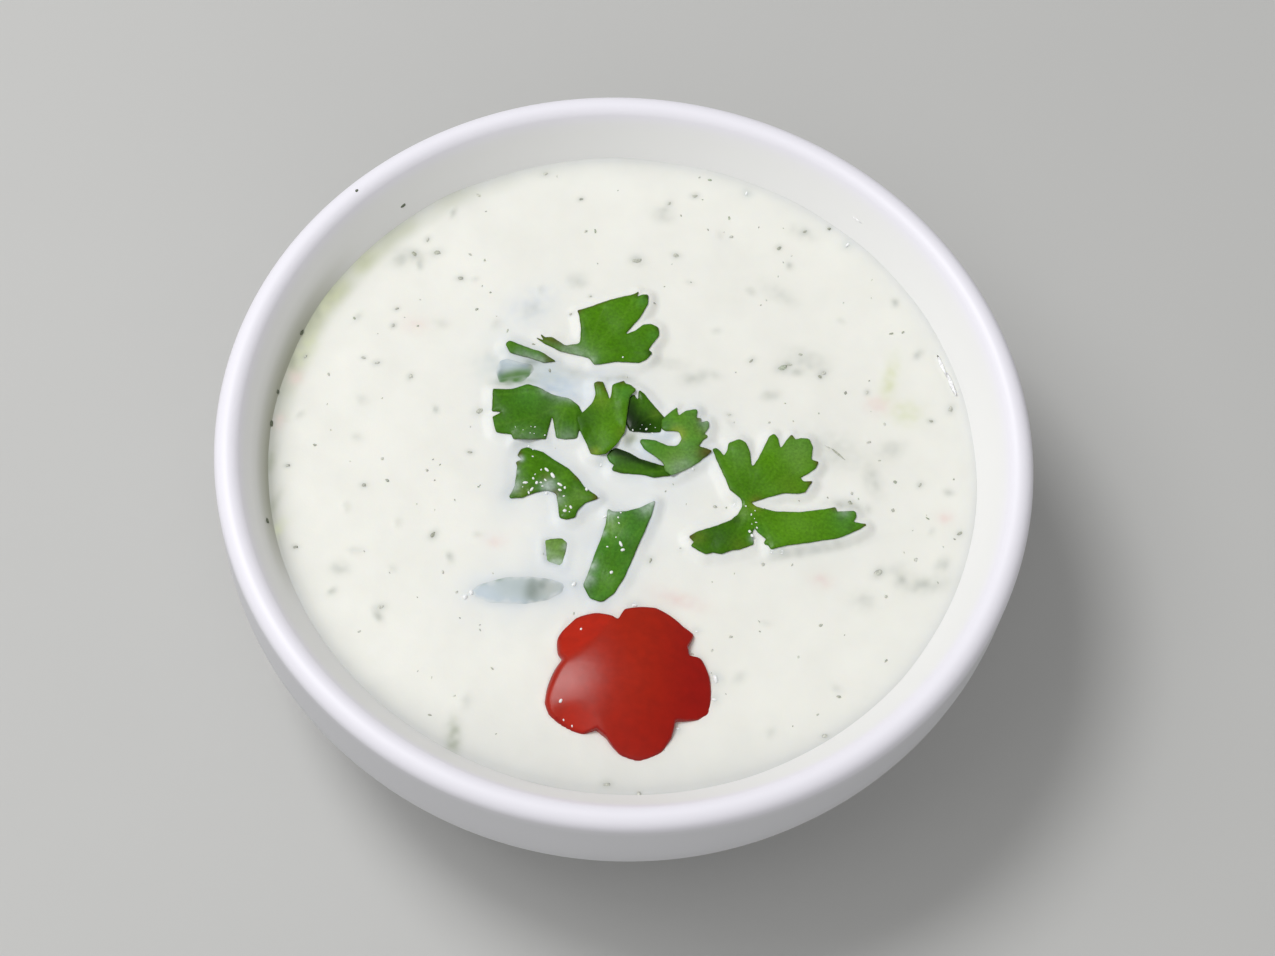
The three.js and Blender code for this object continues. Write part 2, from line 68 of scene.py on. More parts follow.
RIM_RADIUS = 60
BOWL_HEIGHT = 40
LIP_RADIUS = 2
WALL_LEAN = 31 * RAD
KNEE_HEIGHT = 31
KNEE_ROUNDING = 5
WALL_FOOT_RADIUS = 49.5
FLOOR_HEIGHT = 7.5
FLOOR_ROUNDING = 20
BODY_ROUNDING = 26
FOOT_RADIUS = 31
FOOT_WIDTH = 4
FOOT_HEIGHT = 4
FOOT_RECESS = 1.5
FOOT_ROUNDING = 0.8

DIP_LEVEL = 32.2
SWELL_HEIGHT = 0.12
SWELL_LENGTH = 17
MENISCUS_HEIGHT = 0.35
MENISCUS_WIDTH = 1.4
MOUNDS = [(-13, 13, (4.5, 1.2), 0.8), (-14, -23.2, (5, 2.2), 0.25)]  # [x, y, reach, height]

FLAKE_COUNT = 44
FLAKE_LENGTH = (0.95, 1.9)
FLAKE_PROUD = 0.22
FLAKE_SPACING = 5.2
FLAKE_CLEARANCE = 2
FLAKE_SEED = 20

LEAF_BED = 0.45  # room that the part leaves for a leaf's thickness
LEAF_WAVE = 0.16
LEAF_WAVE_LENGTH = 8

FLOWER_AT = (3, -33.9)
FLOWER_TOP = 2.8
FLOWER_DOME_RADIUS = 34
FLOWER_SUNK = 1

# ------------------------------------------------------------------- looks: sizes

BOWL_SEGMENTS = 288
BOWL_SIDE = 1.5  # the longest side of the bowl's profile
BARE_HEIGHT = 0.35  # of the unglazed edge under the foot
DIP_CELLS = 288  # across the dip
DIP_INTO_WALL = 0.05  # the dip reaches this far into the glaze, so that no gap shows
CLIMB_HEIGHT = 0.25  # the thin film that the dip leaves on the wall
CLIMB_WIDTH = 0.6
DIP_LUMPS = [(0.06, 7, 1.0), (0.03, 2.6, 2.0)]  # [height, size, seed]
DIP_EVEN_EDGE = 4  # the lumps fade out over this width at the wall
LEAF_PITCH = 0.2  # between a leaf's vertices
LEAF_THICKNESS = 0.3
LEAF_EDGE = 0.1  # thickness at the very edge
LEAF_GAP = 0.02  # between a leaf's underside and the dip
LEAF_OVERLAP = 0.12  # between leaves that cross
CUT_WOBBLE = 0.05  # how uneven a cut edge is
CUT_WOBBLE_LENGTH = 0.8
LAP_WIDTH = 0.9  # the dip laps this far over a pressed leaf
LAP_HEIGHT = 0.12
COAT = 0.08  # a coated leaf lies this much over the dip in its middle, and under it at its edge
VEIN_SPACING = 1.5  # between the side veins along a main one
VEIN_TURN = 38 * RAD  # from a main vein to its side veins
SIDE_VEIN = 0.45  # strength of a side vein, with a main one at 1
SKIRT = 1.8  # the dip rises to a leaf's edge over this width
LEAF_HUMPS = 0.08  # small humps of a leaf
LEAF_SAG = 0.12  # its edge hangs this much lower
VEIN_DEPTH = 0.02
FILM_WIDTH = 2.4  # of the watery dip round a leaf
FILM_REACH = 9
FLOWER_SEGMENTS = 420
FLOWER_PITCH = 0.3  # between the points of its outline
FLOWER_HUMPS = 0.05
CREASE_WIDTH = 0.3
FLECK_COUNT = 220
FLECK_SEED = 41
FLECK_SIDES = 8
FLECK_LIFT = 0.1  # of a fleck's top
FLECK_SUNK = 0.02
DAB_LIFT = 0.05
THIN_SHARE = 0.14  # width of a thin fleck for its length
BEAD_SEED = 7
BEAD_RINGS = 4
BEAD_SIDES = 12
BEAD_SUNK = 0.06
FLOOR_HALF = 3000

# The camera that sees the rim as the photo does, in pixels of the photo.
PHOTO_WIDTH = 1275
PHOTO_HEIGHT = 956
CAMERA_DISTANCE = 400
CAMERA_ELEVATION = 63.1 * RAD
CAMERA_ROLL = 6.4 * RAD
CAMERA_FOCUS = 2728.2
RIM_CENTRE_PIXEL = (626.6, 442.8)
RIM_CENTRE = Vector((0, 0, 38))
SENSOR_WIDTH = 36

# Each lamp: where it stands from the bowl, how wide it is, and its strength in watts.
LAMPS = {
    "key": ((-0.62, 0.12, 0.78), 0.45, 1.6),
    "window": ((-0.42, 0.22, 0.88), 0.35, 4.1),
    "front": ((0.1, -0.8, 0.7), 0.9, 1.2),
    "left": ((-0.5, -0.25, 0.85), 0.5, 0.8),
}
LAMP_DISTANCE = 1.0
SKY_STRENGTH = 0.32


def srgb(red, green, blue):
    """A colour as the eye reads it, 0 to 255, as linear light."""
    shares = np.array([red, green, blue]) / 255
    return np.where(shares <= 0.04045, shares / 12.92, ((shares + 0.055) / 1.055) ** 2.4)


GLAZE_INSIDE = srgb(246, 246, 245)
# the outside glaze is painted greyer than the inside: painted shade on the outer wall
GLAZE_OUTSIDE_SHADE = srgb(226, 226, 230)
GLAZE_LIP = srgb(247, 245, 253)
WALL_FOOT_SHADE = srgb(176, 178, 160)  # painted shade, olive grey, in the crevice where the left inner wall meets the dip
CREAM = srgb(245, 245, 237)
# painted shade of the dip near the wall and at its front
DIP_EDGE_SHADE = srgb(220, 221, 217)
# painted shade, olive tinted, along the dip's upper-left edge under the rim
OLIVE_EDGE_SHADE = srgb(195, 200, 170)
WHEY_WHITE = srgb(225, 231, 236)  # thin watery dip round the garnish
WHEY_BLUE = srgb(206, 219, 229)
# painted shade in thin rings round the leaves and the drops on the dip
RING_SHADE_GREY = srgb(170, 184, 184)
COATED_DARK = srgb(126, 142, 152)
COATED_GREEN = srgb(118, 146, 108)
COATED_BLUE = srgb(190, 202, 202)
HERB_GREY = srgb(190, 194, 186)
DEEP_HERB = srgb(140, 150, 120)
DARK_HERB = srgb(132, 145, 138)
PINK = srgb(240, 222, 216)
OIL_GREEN = srgb(224, 229, 192)
OLIVE_FILM = srgb(160, 168, 142)
MILKY = srgb(206, 217, 213)  # dip over a leaf
FLECK_DARK = srgb(96, 104, 84)
FLECK_OLIVE = srgb(118, 124, 92)
FLECK_GREEN = srgb(84, 118, 44)
# white of the dabs on the wall: painted highlights
GLINT_WHITE = srgb(254, 254, 255)

# the parsley's greens, and the brown of its cut edges; the darker and lighter greens, laid as
# spots, also stand for painted shade and painted light
NIGHT = srgb(14, 36, 2)
DEEP = srgb(50, 96, 6)
MID = srgb(64, 118, 8)
LEAF = srgb(78, 134, 8)
BRIGHT = srgb(92, 146, 22)
BLUISH = srgb(76, 136, 44)
PALE = srgb(112, 152, 66)
OLIVE = srgb(98, 124, 30)
YELLOWISH = srgb(140, 164, 52)
VEIN = srgb(104, 154, 42)
BROWN = srgb(84, 62, 26)

PEPPER_RED = srgb(166, 30, 0)
# deep red of the flower's rim, and painted shade on its right side and bottom petal
PEPPER_DEEP_SHADE = srgb(152, 12, 0)
PEPPER_ORANGE = srgb(180, 30, 0)
PEPPER_CUT = srgb(170, 40, 22)

# Each piece of parsley lies at a place on the dip, a lift over it, and rises along x and y.
# All its places are from there. Corners are [x, y, rounding]. The stalk is where its veins
# start, and the tips are where they end. Tones are colours, each before its spots [x, y,
# reach, strength, turn]; the darker and lighter spots are partly the leaf's own greens and
# partly painted shade and painted light. Beads are drops [x, y, length], with a turn where
# they are long, white as painted highlights.
# Film is how watery the dip is round it. Over names the leaves that it crosses, pressed says
# that the dip laps over its edge, clearance is how near flakes come, and fade is how wide a
# coated leaf fades into the dip.
LEAVES = {}
LEAVES["leaf_top"] = dict(
    at=(-4, 21.5), lift=0.5, rise=(0.03, 0.02), green=LEAF, film=0.15, stalk=(-2.7, -4.9),
    corners=[(-5.7, 2.6, 0.15), (-2.7, 4.1, 2), (0.7, 5.7, 2), (2.7, 6.5, 0.8), (3.4, 7.1, 0.1),
        (3, 6, 0.15), (3.9, 6.5, 0.6), (4.8, 6.6, 0.3), (4.9, 5, 1), (3.9, 2.4, 3),
        (1.9, -0.8, 0.12), (3.5, 0.1, 1), (4.5, 1.3, 0.8), (5.8, 1.6, 0.8), (6.9, 1.1, 0.5),
        (7.1, -0.2, 0.8), (5.7, -3, 0.12), (6.4, -3.5, 0.25), (5.5, -4.7, 0.6), (4.5, -5.3, 0.8),
        (1, -5.5, 3), (-2.2, -6.4, 0.4), (-3.1, -5.3, 1), (-4.9, -5, 2), (-7.5, -4.7, 2),
        (-10, -3.7, 1), (-11.8, -2.5, 0.06), (-10.1, -3.2, 0.1), (-10.9, -2, 0.06),
        (-10, -2.6, 0.15), (-8.9, -2.5, 0.8), (-6.9, -3.6, 1), (-4.7, -2.9, 0.6), (-4.8, -0.5, 2),
        (-5.3, 1.7, 2)],
    tips=[(-4.9, 2.3), (-1.7, 3.6), (2.6, 6.1), (4.5, 6), (6.4, 0.7), (5.9, -4), (-10, -2.9)],
    tones=[DEEP, (-4.8, -0.9, 0.8, 0.6), MID, (3.5, -2.8, 2.4, 0.6), BLUISH, (4.1, 5.4, 0.7, 0.7),
        (6.3, -0.5, 0.8, 0.6), BROWN, (-8.6, -3.1, (2, 0.6), 0.6, -12), (-5.7, 2.5, 0.4, 0.8),
        (3, 6.7, 0.5, 0.5), (-3.5, 3.8, (3, 0.25), 0.6, 25), NIGHT, (6, -3.5, 0.5, 0.6),
        (4.7, 6.2, 0.4, 0.6), (6.9, 0.9, 0.4, 0.6), MILKY, (-6.3, -4.5, 1.2, 0.25),
        (-4.6, -4.8, 0.9, 0.3), (-2.6, -5.9, 0.8, 0.2)],
    beads=[(2, -4.7, 0.3)],
)
LEAVES["leaf_strip"] = dict(
    at=(-16, 16.4), lift=0.4, rise=(-0.03, 0.05), green=MID, film=0.7, stalk=(3.6, -1.4),
    corners=[(-3.9, 0.5, 0.5), (-3.4, 1.1, 0.4), (-2.7, 1, 0.5), (-0.1, 0.3, 3), (1.7, -0.2, 2),
        (4.1, -1.5, 0.1), (2.3, -2.1, 0.8), (-0.2, -1.3, 2), (-3, -0.8, 0.6)],
    tips=[(-3.4, 0.5)],
    tones=[LEAF, (-3, 0.4, 0.7, 0.6), BROWN, (3.1, -1.3, 0.8, 0.5), MILKY, (-1.4, -1.2, 0.9, 0.25),
        (1.7, -2, 0.8, 0.3), (0.1, -1.5, 0.8, 0.2)],
)
LEAVES["leaf_left"] = dict(
    at=(-14, 6), lift=0.4, rise=(0, 0.02), green=MID, film=0.4, stalk=(4.9, 2.6),
    corners=[(-6.8, 3.1, 0.2), (-4.1, 3.5, 2), (-1.7, 4.5, 1), (0.4, 4, 1.5), (2.1, 3.3, 1.5),
        (4.8, 2.9, 1.5), (6.3, 1.8, 1), (7.2, 0.5, 1), (7.4, -1.2, 1), (6.7, -2.4, 0.5),
        (6.6, -3.6, 0.4), (4.8, -3.8, 1.5), (3.5, -3.7, 0.3), (2.5, -0.3, 0.08), (2, -4.2, 0.3),
        (-0.3, -4.7, 1.5), (-2.8, -4.8, 0.4), (-3.2, -4, 0.3), (-5.5, -4, 0.5), (-6.1, -2.2, 1),
        (-6.3, -1.6, 0.15), (-5, -0.6, 0.08), (-6.5, -0.6, 0.15)],
    tips=[(-5.9, 2.2), (-5.5, -2.8), (-1.9, -4), (1.4, -3.6), (4, -3.3), (6.2, -3), (-1.3, 3.9)],
    tones=[BLUISH, (-1.6, 2.3, 1.6, 0.5), DEEP, (1.9, 2.7, 0.8, 0.5), (1.5, -0.6, 1.2, 0.4),
        BRIGHT, (4.3, 1.2, 1.2, 0.4), MILKY, (1, 4, 0.7, 0.5), (3.3, 3.4, 0.9, 0.45),
        (5, 3.1, 0.7, 0.35), (-0.3, -4.8, 1.4, 0.15), (5.1, -3.8, 1.1, 0.2)],
    beads=[(-2.7, -2.9, 0.2), (-1.5, -3.3, 0.18), (-0.4, -2.6, 0.22), (0.2, -2.6, 0.26),
        (-0.4, -3.7, 0.22), (0.2, -3.7, 0.2), (1.8, -3.7, 0.26), (-0.4, -5.5, 0.45)],
)
LEAVES["leaf_middle"] = dict(
    at=(-3.5, 7), lift=0.6, rise=(0.02, 0), green=LEAF, film=0.4, over=("leaf_left", "leaf_dark"),
    stalk=(-0.6, -6.3),
    corners=[(-2.4, 4.8, 0.3), (-1.8, 5.1, 0.6), (-1, 5.1, 0.15), (-0.1, 3.3, 0.8),
        (0.3, 2.2, 0.1), (0.4, 3.6, 0.8), (0.4, 4.8, 0.4), (1.1, 5.3, 0.8), (2.1, 5.8, 0.12),
        (2.3, 5.4, 0.2), (3.2, 5.2, 0.8), (4.1, 4.4, 0.3), (3.2, 3.1, 1), (3.1, 0, 4),
        (3.1, -2.8, 2), (2.1, -5, 1.5), (0.7, -6.7, 0.8), (-0.7, -7, 1), (-1.6, -6.9, 0.4),
        (-2.3, -5.4, 2), (-3.5, -3.6, 1.2), (-4.2, -1.9, 1), (-4.3, -1.1, 0.5), (-3.1, 0.2, 1.5),
        (-2.2, 1.7, 1.2), (-1.9, 3.1, 1.5)],
    tips=[(-1.7, 4.4), (0.6, 4.3), (2, 5.2), (3.6, 4.5), (-3.6, -0.8)],
    tones=[YELLOWISH, (-1, 2.1, 1.2, 0.25), BLUISH, (2.5, 3.4, 1, 0.7),
        DEEP, (-3.2, -2, 1.8, 0.95), (-1.9, -5, 1, 0.6), BRIGHT, (0.8, -2.8, 1.8, 0.5),
        BROWN, (-1.6, 4.9, 0.5, 0.7), (-0.5, 4, 0.35, 0.7), (1.8, 5.5, 0.3, 0.7),
        (-1.8, -6.6, 0.4, 0.6), YELLOWISH, (-0.9, -6.5, 0.5, 0.6), OLIVE, (2.8, -3, 0.8, 0.5)],
)
LEAVES["leaf_dark"] = dict(
    at=(2.5, 8.3), lift=0.45, rise=(0, 0.04), green=DEEP, film=0.2, stalk=(-1.9, -3.3),
    corners=[(-1.6, 3.4, 0.2), (-0.6, 2.7, 1.5), (1.4, 0.5, 1.5), (2.7, -0.8, 0.3), (2.7, -2, 1),
        (2.4, -3.2, 0.5), (0, -3.7, 1.5), (-2.3, -3.7, 0.5), (-3.6, -1.3, 1), (-3.3, 1.3, 1),
        (-2.2, 2.6, 0.3), (-1.5, 1.6, 0.1)],
    tips=[(-1.3, 2.9), (1.7, -0.4)],
    # the near-black spots are painted shade
    tones=[NIGHT, (-1.9, -2.6, 1.6, 0.95), (-0.5, -3.1, 1.1, 0.8), (-2.5, 0.6, 0.8, 0.6),
        LEAF, (-0.4, 1.3, 1.4, 0.3), YELLOWISH, (1.4, -0.3, 0.7, 0.15),
        NIGHT, (-2.9, -1, 1.2, 0.85)],
    beads=[(0.2, -3.2, 0.45), (1.2, -3.5, 0.4), (-1.8, -3.6, 0.28), (-0.5, -2.6, 0.14),
        (0.7, -2.3, 0.16), (1.5, -2.7, 0.16), (-0.7, -3.3, 0.14)],
)
LEAVES["leaf_toothed"] = dict(
    at=(8.5, 4.5), lift=0.6, rise=(0.02, 0.03), green=BLUISH, film=0.6, over=("leaf_tucked",),
    stalk=(3.7, -1.9),
    corners=[(-3.3, 3, 0.15), (-2.4, 4, 1), (-1.5, 4.9, 0.12), (-1.5, 4.2, 0.3), (-1.2, 3.4, 0.12),
        (-0.2, 4.4, 0.6), (1.5, 4.9, 0.3), (1.5, 3.4, 0.12), (2.2, 3.4, 0.15), (2.2, 2.8, 0.12),
        (3.4, 3.3, 0.4), (3.5, 2.1, 0.6), (2.9, 1, 0.12), (3.5, 0.6, 0.25), (2.8, -0.2, 0.15),
        (2.2, -1.3, 0.8), (3, -1.4, 0.8), (4.4, -1.8, 0.2), (2.2, -4.1, 2), (0.4, -5.5, 1.5),
        (-1.4, -6.6, 0.5), (-2.5, -5.9, 1), (-2.7, -4.6, 1.5), (-4.1, -3.7, 1.5), (-5.8, -2.7, 1),
        (-6.6, -1.5, 0.3), (-6.4, -1.1, 0.3), (-4.3, -1.1, 2), (-2.3, -1.7, 1.5), (-0.9, -1.5, 1),
        (-0.4, -0.3, 0.8), (-0.9, 0.8, 0.6), (-3, 0.7, 1), (-3.6, 1, 0.5), (-3.7, 2.4, 1)],
    tips=[(-1.8, 4.3), (0.6, 4.4), (1.9, 3.1), (3.1, 2.5), (3.1, 0.5), (-5.8, -1.8), (1.2, -4.4)],
    tones=[LEAF, (-2.2, 2.9, 1.2, 0.5), BRIGHT, (-1, 3, 1, 0.5), OLIVE, (2.2, 1.4, 0.9, 0.5),
        YELLOWISH, (-0.6, 0.4, 0.7, 0.9), (-1.5, 0.8, 0.6, 0.6), BRIGHT, (0.8, 0.2, 1, 0.4),
        BROWN, (3.1, -2.3, 1, 0.7), (4.1, -1.9, 0.6, 0.8), (2, 3.2, 0.4, 0.7),
        (3.3, 0.5, 0.4, 0.5), PALE, (-1.1, -4, 2, 0.8), LEAF, (-3.4, -3, 1.2, 0.4),
        DEEP, (-3.1, 1.3, 0.8, 0.4), PALE, (0.5, 3.2, 1.6, 0.3), (2.9, 1, 0.8, 0.6),
        DEEP, (2.2, 2.2, 0.35, 0.6), (2.6, 0.9, 0.3, 0.5), MILKY, (3, 2.4, 0.8, 0.2),
        (0.4, -5.5, 1.2, 0.35), (2.3, 3, 0.4, 0.2)],
    beads=[(1.7, -4.9, 0.5)],
)
LEAVES["leaf_tucked"] = dict(
    at=(1.5, -0.4), lift=0.35, rise=(0, 0.05), green=DEEP, film=0.6, stalk=(5, -0.8),
    corners=[(-4.2, 0.6, 0.5), (-3.8, 1.4, 0.4), (-3, 2, 0.6), (-1.1, 1.4, 2), (0.7, 0.5, 2),
        (4.1, 0, 2), (5.6, -0.2, 0.5), (5.7, -1.5, 0.6), (3.2, -2.2, 1.5), (1.4, -1.9, 2),
        (-2, -2, 1.5), (-3.4, -1.7, 0.4), (-3, -0.8, 0.15), (-3.8, -0.3, 0.5)],
    tips=[(-3.4, 0.5), (-2.6, -1.4)],
    tones=[LEAF, (-0.9, -1.2, (2.4, 0.6), 0.3), (3.1, -1.2, (1.6, 0.6), 0.2),
        # the near-black strips are painted shadow under leaf_toothed
        BLUISH, (-3.4, 0, 0.5, 0.6), NIGHT, (-2.6, 1.5, (1.6, 0.5), 0.95, -15),
        (0.2, 0.4, (2, 0.45), 0.9, -14), (2.9, 0, 0.6, 0.6)],
    beads=[(-4.9, -0.9, 0.4)],
)
LEAVES["leaf_wet"] = dict(
    at=(-10, -5), lift=0, rise=(0.05, -0.01), green=MID, film=0.9, stalk=(6.6, -1.9),
    corners=[(-5.4, 5, 0.3), (-4.6, 5.4, 0.6), (-3.6, 5.1, 0.8), (-2.2, 4.8, 1), (-0.1, 3.6, 2),
        (1.8, 2.5, 2), (3.4, 1.1, 2), (4.8, -0.5, 2), (7, -2, 0.3), (4.9, -3, 1), (3.9, -4.4, 0.6),
        (3.8, -5.5, 0.5), (2.6, -6, 0.8), (1.4, -5.8, 0.5), (1, -3.7, 1.2), (0.5, -1.8, 0.8),
        (-0.9, -1.5, 1), (-2.7, -2.1, 1.5), (-4.4, -3, 0.5), (-6.4, -3.3, 0.3), (-5.7, -1.1, 1.5),
        (-5.7, 2, 1), (-6, 2.6, 0.2), (-5.1, 3.2, 0.15), (-5.9, 3.8, 0.2), (-5.7, 4.5, 0.3)],
    tips=[(-5, 4.6), (-5.7, -2.4), (2.3, -5.2), (-1.5, 1.7)],
    tones=[OLIVE, (-1.3, 0.6, 0.6, 0.7), BROWN, (0.4, -1.8, 0.5, 0.6), OLIVE, (-4.5, -2, 0.9, 0.6),
        DEEP, (2.1, 2.2, 1.2, 0.6), (4.1, 0.4, 0.8, 0.7), PALE, (3.8, -1.9, 1, 0.5),
        BRIGHT, (1.5, 1, 1, 0.5), PALE, (2.1, -3.9, 0.9, 0.6), BROWN, (3.4, 1.2, 0.4, 0.6),
        (6.7, -1.9, 0.6, 0.8), (-5.8, 2.5, 0.4, 0.7), (-5.7, 4, 0.4, 0.7),
        BRIGHT, (-4.1, 2.2, 1.4, 0.4), MILKY, (-5.9, -1.3, 0.7, 0.8), (-5.8, 1.2, 0.4, 0.5),
        (-0.7, -0.8, 0.8, 0.7), (-5.3, 3.2, 0.35, 0.7), (1, -2.9, 0.7, 0.3)],
    beads=[(-1.3, 1.9, 0.9, -40), (-0.3, 1, 1.1, -55), (-4.2, -0.6, 0.85, 10),
        (-3.1, -1.6, 0.8, 60), (-2.5, -0.5, 0.6), (-1.9, -0.4, 0.45), (-1.3, 0.1, 0.5),
        (-1.6, -1, 0.4), (0.9, -0.4, 0.9, -30), (1, -1.3, 0.6), (1.7, -0.8, 0.5),
        (4.9, -0.8, 0.55), (2.1, -4.7, 0.6), (2.9, -4, 0.65), (-0.9, -1.9, 0.55),
        (-3.5, -2.2, 0.5), (-3.1, 0.2, 0.45), (-3.6, 3.8, 0.35), (-2.1, 1.8, 0.35),
        (-2.9, 0.9, 0.28), (2.2, -3.9, 0.3), (1.7, -2.2, 0.4), (-3.7, 5, 0.3), (-2.6, 4.9, 0.3),
        (-4.5, -1.3, 0.25), (2.8, -4.8, 0.25)],
)
LEAVES["leaf_square"] = dict(
    at=(-8.8, -16.3), lift=-0.4, rise=(0.02, 0.06), green=PALE, film=0.8, pressed=True,
    stalk=(1.2, 2.1),
    corners=[(-1.7, 2, 0.3), (1, 2.4, 0.4), (1.8, 1.8, 0.6), (1.7, -0.3, 1), (1.7, -2.4, 0.8),
        (-1.1, -1.6, 0.8)],
    tips=[(-0.7, -0.9), (1.5, -1)],
    tones=[MILKY, (0.5, -2.2, 1, 0.9), (-1.4, 0, 0.5, 0.5), (1.9, 1, 0.5, 0.6)],
)
LEAVES["leaf_long"] = dict(
    at=(-0.5, -15), lift=0.05, rise=(0.05, 0.02), green=BLUISH, film=0.8, stalk=(-1.3, -7.7),
    corners=[(-1.2, 6.7, 0.2), (-0.5, 6.2, 0.5), (1.4, 6.5, 1.5), (3.7, 7.4, 2), (5.7, 8.7, 0.15),
        (5.4, 6.5, 2), (4.6, 3.6, 3), (3.5, -0.1, 4), (2.4, -4.1, 4), (1.1, -6.8, 1.5),
        (-0.5, -8.4, 0.8), (-2.3, -7.9, 0.8), (-3.5, -5.9, 1), (-3, -4.1, 1.5), (-2.4, -1.3, 2),
        (-1.7, 1.7, 2), (-1.2, 4.4, 2)],
    tips=[(-0.6, 5.6), (2.2, 5.9), (5.1, 7.9), (4.1, 4.1), (-1.4, -1), (2.6, -1.3)],
    tones=[PALE, (-0.3, 4, 1.2, 0.6), DEEP, (3.7, 5.6, 1.2, 0.5), (2.7, 0.8, 1.2, 0.5),
        MID, (0, -2, 1.6, 0.7), DEEP, (-2.4, -6.4, 1.2, 0.6), LEAF, (0.4, -5.4, 1.4, 0.6),
        MILKY, (-0.7, 6.2, 0.8, 0.7), (4.4, 7.4, 0.9, 0.5), (5.6, 8.3, 0.5, 0.8),
        (-3, -5, 0.7, 0.65), (-2.5, -2.9, 0.6, 0.45), (-1.5, 2.7, 0.4, 0.5)],
    beads=[(-1.4, 5.4, 0.85, 30), (0.5, 5.3, 0.35), (0.7, 4.4, 0.35), (0.5, 2.1, 0.3),
        (1.3, 1.1, 0.95, -60), (1.7, 0.2, 0.7), (-0.6, 0.4, 0.35), (0.4, -3.6, 0.6),
        (0.8, 6.1, 0.3), (-4.8, -5.9, 0.9)],
)
LEAVES["leaf_sunk"] = dict(
    at=(-14, -23.2), lift=-0.5, rise=(0, 0.03), green=COATED_BLUE, film=0.7, fade=0.9,
    stalk=(6.7, 1.9),
    corners=[(-6.3, -0.5, 0.5), (-5.1, 0.8, 1), (-3.5, 1.5, 2), (-1.4, 2.4, 2), (2.2, 3, 3),
        (5.4, 3, 2), (7.7, 2.4, 1), (7.4, 0.6, 1), (5.3, -1, 2), (2.1, -2, 3), (-3, -2.4, 2),
        (-5.5, -1.6, 1)],
    tips=[(-5.4, -0.4)],
    tones=[WHEY_BLUE, (-4.4, -0.8, (1.8, 1.2), 0.7), (0.6, -1.8, (3.4, 0.7), 0.6),
        HERB_GREY, (5, 1.4, (1.6, 1.3), 0.7), DARK_HERB, (2.9, 0.6, (0.8, 1.4), 0.95),
        (4.1, 1.5, 0.5, 0.6), COATED_GREEN, (-2.6, 1.8, (2, 0.3), 0.9, 22)],
    beads=[(-6.7, -1.6, 0.9), (-5.9, -0.8, 0.8)],
)
